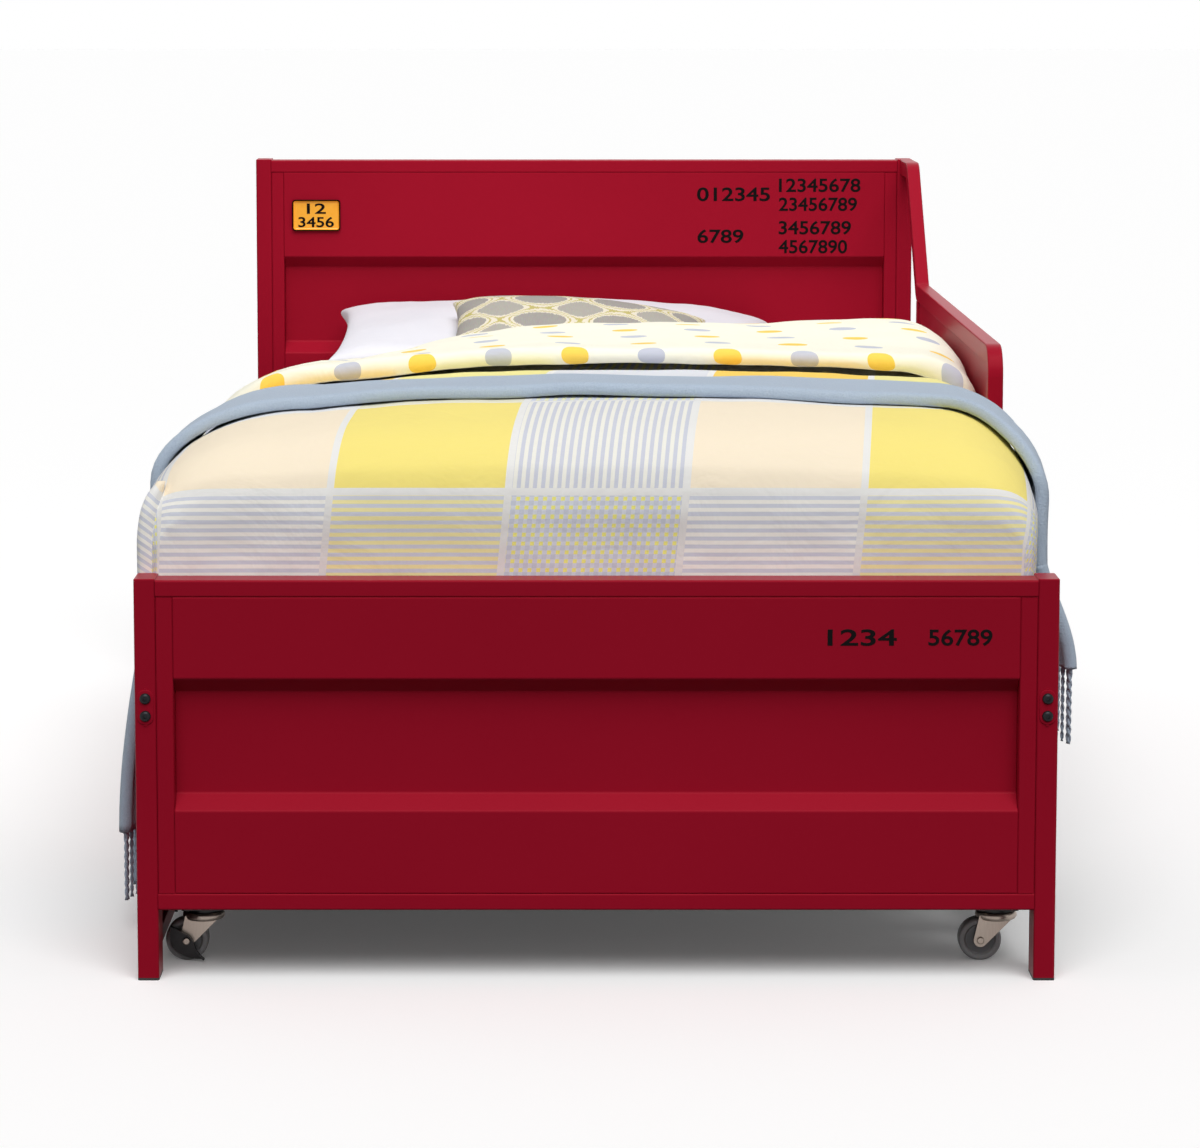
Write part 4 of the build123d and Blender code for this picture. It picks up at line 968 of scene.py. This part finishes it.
# The cushion's place comes first, because the pillow gives way under it. The pillow slopes up by a tenth
# towards the head, its right end sags by 20 mm, and it rests 1.5 mm above the mattress.
cushion_turn = Matrix.Rotation(math.radians(4), 4, "Y") @ Matrix.Rotation(math.radians(17), 4, "X")
cushion_middle = Vector((-0.012, 0.575, 0.612))
cushion_size = (0.388, 0.200, 0.092)
cushion_full = 0.42
pillow_rest = mattress_top + 0.0015
pillow_low, pillow_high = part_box("pillow")
pillow_middle = Vector(((pillow_low.x + pillow_high.x) / 2, pillow_high.y - 0.212, 0.597))
pillow_rows = pad_points(0.680, 0.410, 0.078, 0.03, 0.28, 21.0, 0.006, 0.009)
undo = (Matrix.Translation(cushion_middle) @ cushion_turn).inverted()
for face in pillow_rows:
    for index in np.ndindex(face.shape[:2]):
        point = Vector(face[index])
        point.z += 0.1 * point.y - 0.02 * max(0.0, point.x / 0.345) ** 3
        point += pillow_middle
        point.z = max(point.z, pillow_rest)
        flat = undo @ point
        u, v = flat.x / (cushion_size[0] / 2), flat.y / (cushion_size[1] / 2)
        room = cushion_size[2] / 2 * pad_height(u, v, cushion_full) + 0.003
        if max(abs(u), abs(v)) < 1.05 and flat.z > -room:
            flat.z = -room
            point = undo.inverted() @ flat
            point.z = max(point.z, pillow_rest)
        face[index] = point
percale = woven_cotton("white_cotton_percale", "#ebeaf0", "#e2e1e9", 0.0008, 0.3)
pillow = pad_piece("pillow_case", pillow_rows, percale, pillow_rows[0][:, :, :2])
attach(pillow, "bed_frame")
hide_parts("pillow")


# The cushion: a small oblong one in a heavy linen weave with a traditional ogee pattern in grey and olive
# on cream, its edges blurred as in resist-dyed yarn. It leans on the pillow.
def ogee_linen():
    """Resist-dyed linen: grey ogee cells outlined in cream and olive, 122 by 84 mm, on a 1 mm slub weave."""
    material, tree, shader, place = blank("resist_dyed_linen")
    cloth = add(tree, "ShaderNodeUVMap", uv_map="cloth")
    apart = add(tree, "ShaderNodeSeparateXYZ", {0: cloth}).outputs
    # The dye creeps by up to 8 mm along each yarn, which blurs the outlines.
    yarn = add(tree, "ShaderNodeMapping", {"Vector": cloth, "Scale": (600, 60, 1)})
    creep = add(tree, "ShaderNodeTexNoise", {"Vector": yarn, "Scale": 1.0})
    creep = add(tree, "ShaderNodeMath", {0: creep, 1: 0.5}, operation="SUBTRACT")
    creep = add(tree, "ShaderNodeMath", {0: creep, 1: 0.016}, operation="MULTIPLY")
    moved = add(tree, "ShaderNodeMath", {0: apart["Y"], 1: creep}, operation="ADD")
    x = add(tree, "ShaderNodeMath", {0: apart["X"], 1: 2 * math.pi / 0.122}, operation="MULTIPLY")
    y = add(tree, "ShaderNodeMath", {0: moved, 1: 2 * math.pi / 0.084}, operation="MULTIPLY")
    double = add(tree, "ShaderNodeMath", {0: x, 1: 2.0}, operation="MULTIPLY")
    waves = [add(tree, "ShaderNodeMath", {0: turn}, operation="COSINE") for turn in (x, y, double)]
    waist = add(tree, "ShaderNodeMath", {0: waves[2], 1: 0.18}, operation="MULTIPLY")
    level = add(tree, "ShaderNodeMath", {0: waves[0], 1: waves[1]}, operation="ADD")
    level = add(tree, "ShaderNodeMath", {0: level, 1: waist}, operation="ADD")
    high = add(tree, "ShaderNodeMath", {0: level, 1: 0.0}, operation="GREATER_THAN")
    colour = printed(tree, linear("#a8a39d"), (high, linear("#b4afa6")))
    # The outline between cells is cream, with an olive line on each side of its core.
    size = add(tree, "ShaderNodeMath", {0: level}, operation="ABSOLUTE")
    for reach, ink in ((0.6, "#ece3d0"), (0.32, "#c9bd77"), (0.16, "#ece3d0")):
        inside = add(tree, "ShaderNodeMath", {0: size, 1: reach}, operation="LESS_THAN")
        colour = printed(tree, colour, (inside, linear(ink)))
    relief = add(tree, "ShaderNodeBump", {"Height": threads(tree, apart["X"], apart["Y"], 1 / 0.001),
                                          "Strength": 0.5, "Distance": 0.0003})
    give(tree, shader, {"Base Color": slubbed(tree, cloth, colour, (1200, 90, 1), 0.35), "Normal": relief,
                        "Roughness": 0.9, "Specular IOR Level": 0.15})
    return material


cushion_rows = pad_points(*cushion_size, 0.04, cushion_full, 5.0, 0.003, 0.004, count=48)
redo = undo.inverted()
flat_uv = cushion_rows[0][:, :, :2].copy()
for face in cushion_rows:
    for index in np.ndindex(face.shape[:2]):
        face[index] = redo @ Vector(face[index])
cushion = pad_piece("cushion_cover", cushion_rows, ogee_linen(), flat_uv)
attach(cushion, "bed_frame")
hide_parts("cushion")


# The throw: a light blue brushed wool blanket folded to a band, laid across the bed and hanging down both
# sides, with a twisted fringe at each end. Its near edge is a thick soft fold.
# The near and far edges, as places (x, y), the height at which the band passes into its hanging ends, and
# half the cloth's thickness.
throw_near = np.array([(-0.53, -0.790), (-0.46, -0.775), (-0.36, -0.752), (0, -0.745), (0.355, -0.760),
                       (0.42, -0.778), (0.46, -0.805), (0.495, -0.850), (0.523, -0.882)])
throw_far = np.array([(-0.53, -0.460), (-0.43, -0.505), (-0.31, -0.575), (0, -0.630), (0.355, -0.610),
                      (0.435, -0.618), (0.474, -0.634), (0.523, -0.660)])
throw_end = 0.4696
throw_half = 0.0075


def brushed_wool():
    """Brushed wool: pale blue with a short pile that scatters light, in tufts about 2 mm across."""
    material, tree, shader, place = blank("brushed_blue_wool")
    tuft = add(tree, "ShaderNodeTexNoise", {"Vector": place, "Scale": 520.0, "Detail": 3.0,
                                            "Roughness": 0.7})
    cloud = add(tree, "ShaderNodeTexNoise", {"Vector": place, "Scale": 22.0, "Detail": 3.0})
    fine = add(tree, "ShaderNodeMix", {0: tuft, 6: linear("#93a8c1"), 7: linear("#dae5f2")},
               data_type="RGBA")
    tone = add(tree, "ShaderNodeMix", {0: cloud, 6: fine, 7: linear("#bccde0")}, data_type="RGBA")
    relief = add(tree, "ShaderNodeBump", {"Height": tuft, "Strength": 0.9, "Distance": 0.002})
    give(tree, shader, {"Base Color": tone, "Normal": relief, "Roughness": 0.95, "Specular IOR Level": 0.1,
                        "Sheen Weight": 0.3})
    return material


wool = brushed_wool()


def thick_cloth(middle, normal, half, across_run):
    """Both faces of a thick cloth about its middle surface, rounded at its two long edges."""
    reach = np.minimum(across_run, across_run.max(axis=0) - across_run)
    share = np.clip(reach / half, 0, 1)
    full = (half * np.sqrt(np.clip(1 - (1 - share) ** 2, 0, 1)) + 0.0004)[:, :, None]
    return middle + normal * full, middle - normal * full


def laid_throw():
    """The band across the bed, a cloth's thickness above the duvet, and the rows of its middle surface."""
    places = np.arange(-0.9, -0.42, 0.004)
    table = np.array([cut_at(duvet_cuts, y, 0.0006 + throw_half, throw_end) for y in places])
    columns = table.shape[1]
    # The rows lie close together where the cloth's two long edges round over.
    rim = [0, 0.001, 0.0025, 0.0045, 0.0075]
    widths = np.concatenate([rim, np.linspace(0.012, 1 - 0.012, 48), [1 - share for share in reversed(rim)]])
    middle = np.zeros((len(widths), columns, 3))
    for c in range(columns):
        x = float(np.clip(table[len(places) // 2, c, 0], throw_near[0, 0], throw_near[-1, 0]))
        near = eased(np.array([x]), throw_near[:, 0], throw_near[:, 1])[0]
        far = eased(np.array([x]), throw_far[:, 0], throw_far[:, 1])[0]
        ys = near + (far - near) * widths
        for axis in (0, 2):
            middle[:, c, axis] = np.interp(ys, places, table[:, c, axis])
        middle[:, c, 1] = ys
    normal = np.cross(np.gradient(middle, axis=1), np.gradient(middle, axis=0))
    normal /= np.linalg.norm(normal, axis=2, keepdims=True)
    if normal[20, columns // 2, 2] < 0:
        normal = -normal
    run = np.stack([arc_lengths(middle[:, c]) for c in range(columns)], axis=1)
    for index in np.ndindex(middle.shape[:2]):
        x, y, z = middle[index]
        middle[index] += normal[index] * (0.0015 + rumple(x, y, z, 31.0, 0.12, 0.003))
    outer, inner = thick_cloth(middle, normal, throw_half, run)
    points, faces, uvs = closed_sheet(outer, inner, middle[:, :, :2])
    piece = soft_piece("throw_band", points, faces, wool, uvs)
    finish_mesh(piece)
    square_end(piece)
    return piece, middle


def square_end(piece):
    """Keeps the cloth's cut across at throw_end square, so the band and its hanging end shade as one."""
    places = piece.data.vertices
    for edge in piece.data.edges:
        edge.use_edge_sharp = all(abs(places[index].co.z - throw_end) < 2e-4 for index in edge.vertices)


throw, throw_middle = laid_throw()
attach(throw, "bed_frame")
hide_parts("throw")


def hanging_end(name, side, top, low_x, low, waves):
    """The part of the throw that hangs: it goes on from the band's end and waves more as it falls."""
    drop = np.linspace(0, 1, 34)
    middle = np.zeros((len(top), len(drop), 3))
    shares = (top[:, 1] - top[0, 1]) / (top[-1, 1] - top[0, 1])
    for r, share in enumerate(shares):
        for c, fall in enumerate(drop):
            ease = fall * fall * (3 - 2 * fall)
            wave = math.sin(math.pi * waves * share + 0.5 * fall + 0.4) * 0.0085 * ease
            x = top[r, 0] + (side * low_x - top[r, 0]) * math.sin(math.pi / 2 * fall) ** 1.2 + side * wave
            y = top[r, 1] + 0.006 * ease * math.sin(9 * share + 2 * fall)
            middle[r, c] = (x, y, top[r, 2] + (low - top[r, 2]) * fall)
    normal = np.cross(np.gradient(middle, axis=0), np.gradient(middle, axis=1))
    normal /= np.linalg.norm(normal, axis=2, keepdims=True)
    run = np.stack([arc_lengths(middle[:, c]) for c in range(len(drop))], axis=1)
    outer, inner = thick_cloth(middle, normal, throw_half, run)
    points, faces, uvs = closed_sheet(outer, inner, middle[:, :, 1:])
    piece = soft_piece(name, points, faces, wool, uvs)
    finish_mesh(piece)
    square_end(piece)
    return piece, middle[:, -1]


def fringe(name, edge, long):
    """Twisted two-ply tassels, 11.5 mm apart along the cloth's lower edge, each knotted near its top."""
    # A ply is 3.2 mm thick, takes a turn in 22 mm and has 22 rings of five points.
    spacing, turn_length, ply_radius, off_centre, rings, around = 0.0115, 0.022, 0.0016, 0.0013, 22, 5
    run = arc_lengths(edge)
    points, faces = [], []
    count = int(run[-1] / spacing)
    for index in range(count):
        at = (index + 0.5) * run[-1] / count
        root = Vector([float(np.interp(at, run, edge[:, axis])) for axis in range(3)])
        reach = long * (1 + 0.07 * noise.noise(Vector((index * 0.7, 0, 5))))
        swing = 0.006 * noise.noise(Vector((index * 0.53, 3, 1)))
        for ply in (0, math.pi):
            start = len(points)
            for ring in range(rings):
                share = ring / (rings - 1)
                angle = ply + share * reach * 2 * math.pi / turn_length
                knot = 1 + 0.9 * math.exp(-((share - 0.06) / 0.03) ** 2)
                wide = ply_radius * knot * (1 - 0.25 * share)
                middle = root + Vector((math.cos(angle) * off_centre,
                                        math.sin(angle) * off_centre + swing * share, 0.003 - share * reach))
                for corner in range(around):
                    turn = corner * 2 * math.pi / around
                    points.append(middle + Vector((math.cos(turn), math.sin(turn), 0)) * wide)
            for ring in range(rings - 1):
                for corner in range(around):
                    one, two = start + ring * around + corner, start + ring * around + (corner + 1) % around
                    faces.append((one, two, two + around, one + around))
            faces.append(tuple(start + corner for corner in reversed(range(around))))
            faces.append(tuple(start + (rings - 1) * around + corner for corner in range(around)))
    piece = soft_piece(name, points, faces, wool)
    finish_mesh(piece)
    return piece


left_end, left_edge = hanging_end("throw_left_end", -1, throw_middle[:, 0], 0.565, 0.125, 6)
left_fringe = fringe("throw_left_fringe", left_edge, 0.088)
right_end, right_edge = hanging_end("throw_right_end", 1, throw_middle[:, -1], 0.559, 0.343, 4)
right_fringe = fringe("throw_right_fringe", right_edge, 0.094)
for piece in (left_end, left_fringe, right_end, right_fringe):
    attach(piece, "bed_frame")
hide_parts("throw_left_fall")
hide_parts("throw_right_fall")
for piece in (left_end, left_fringe):
    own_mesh(piece)
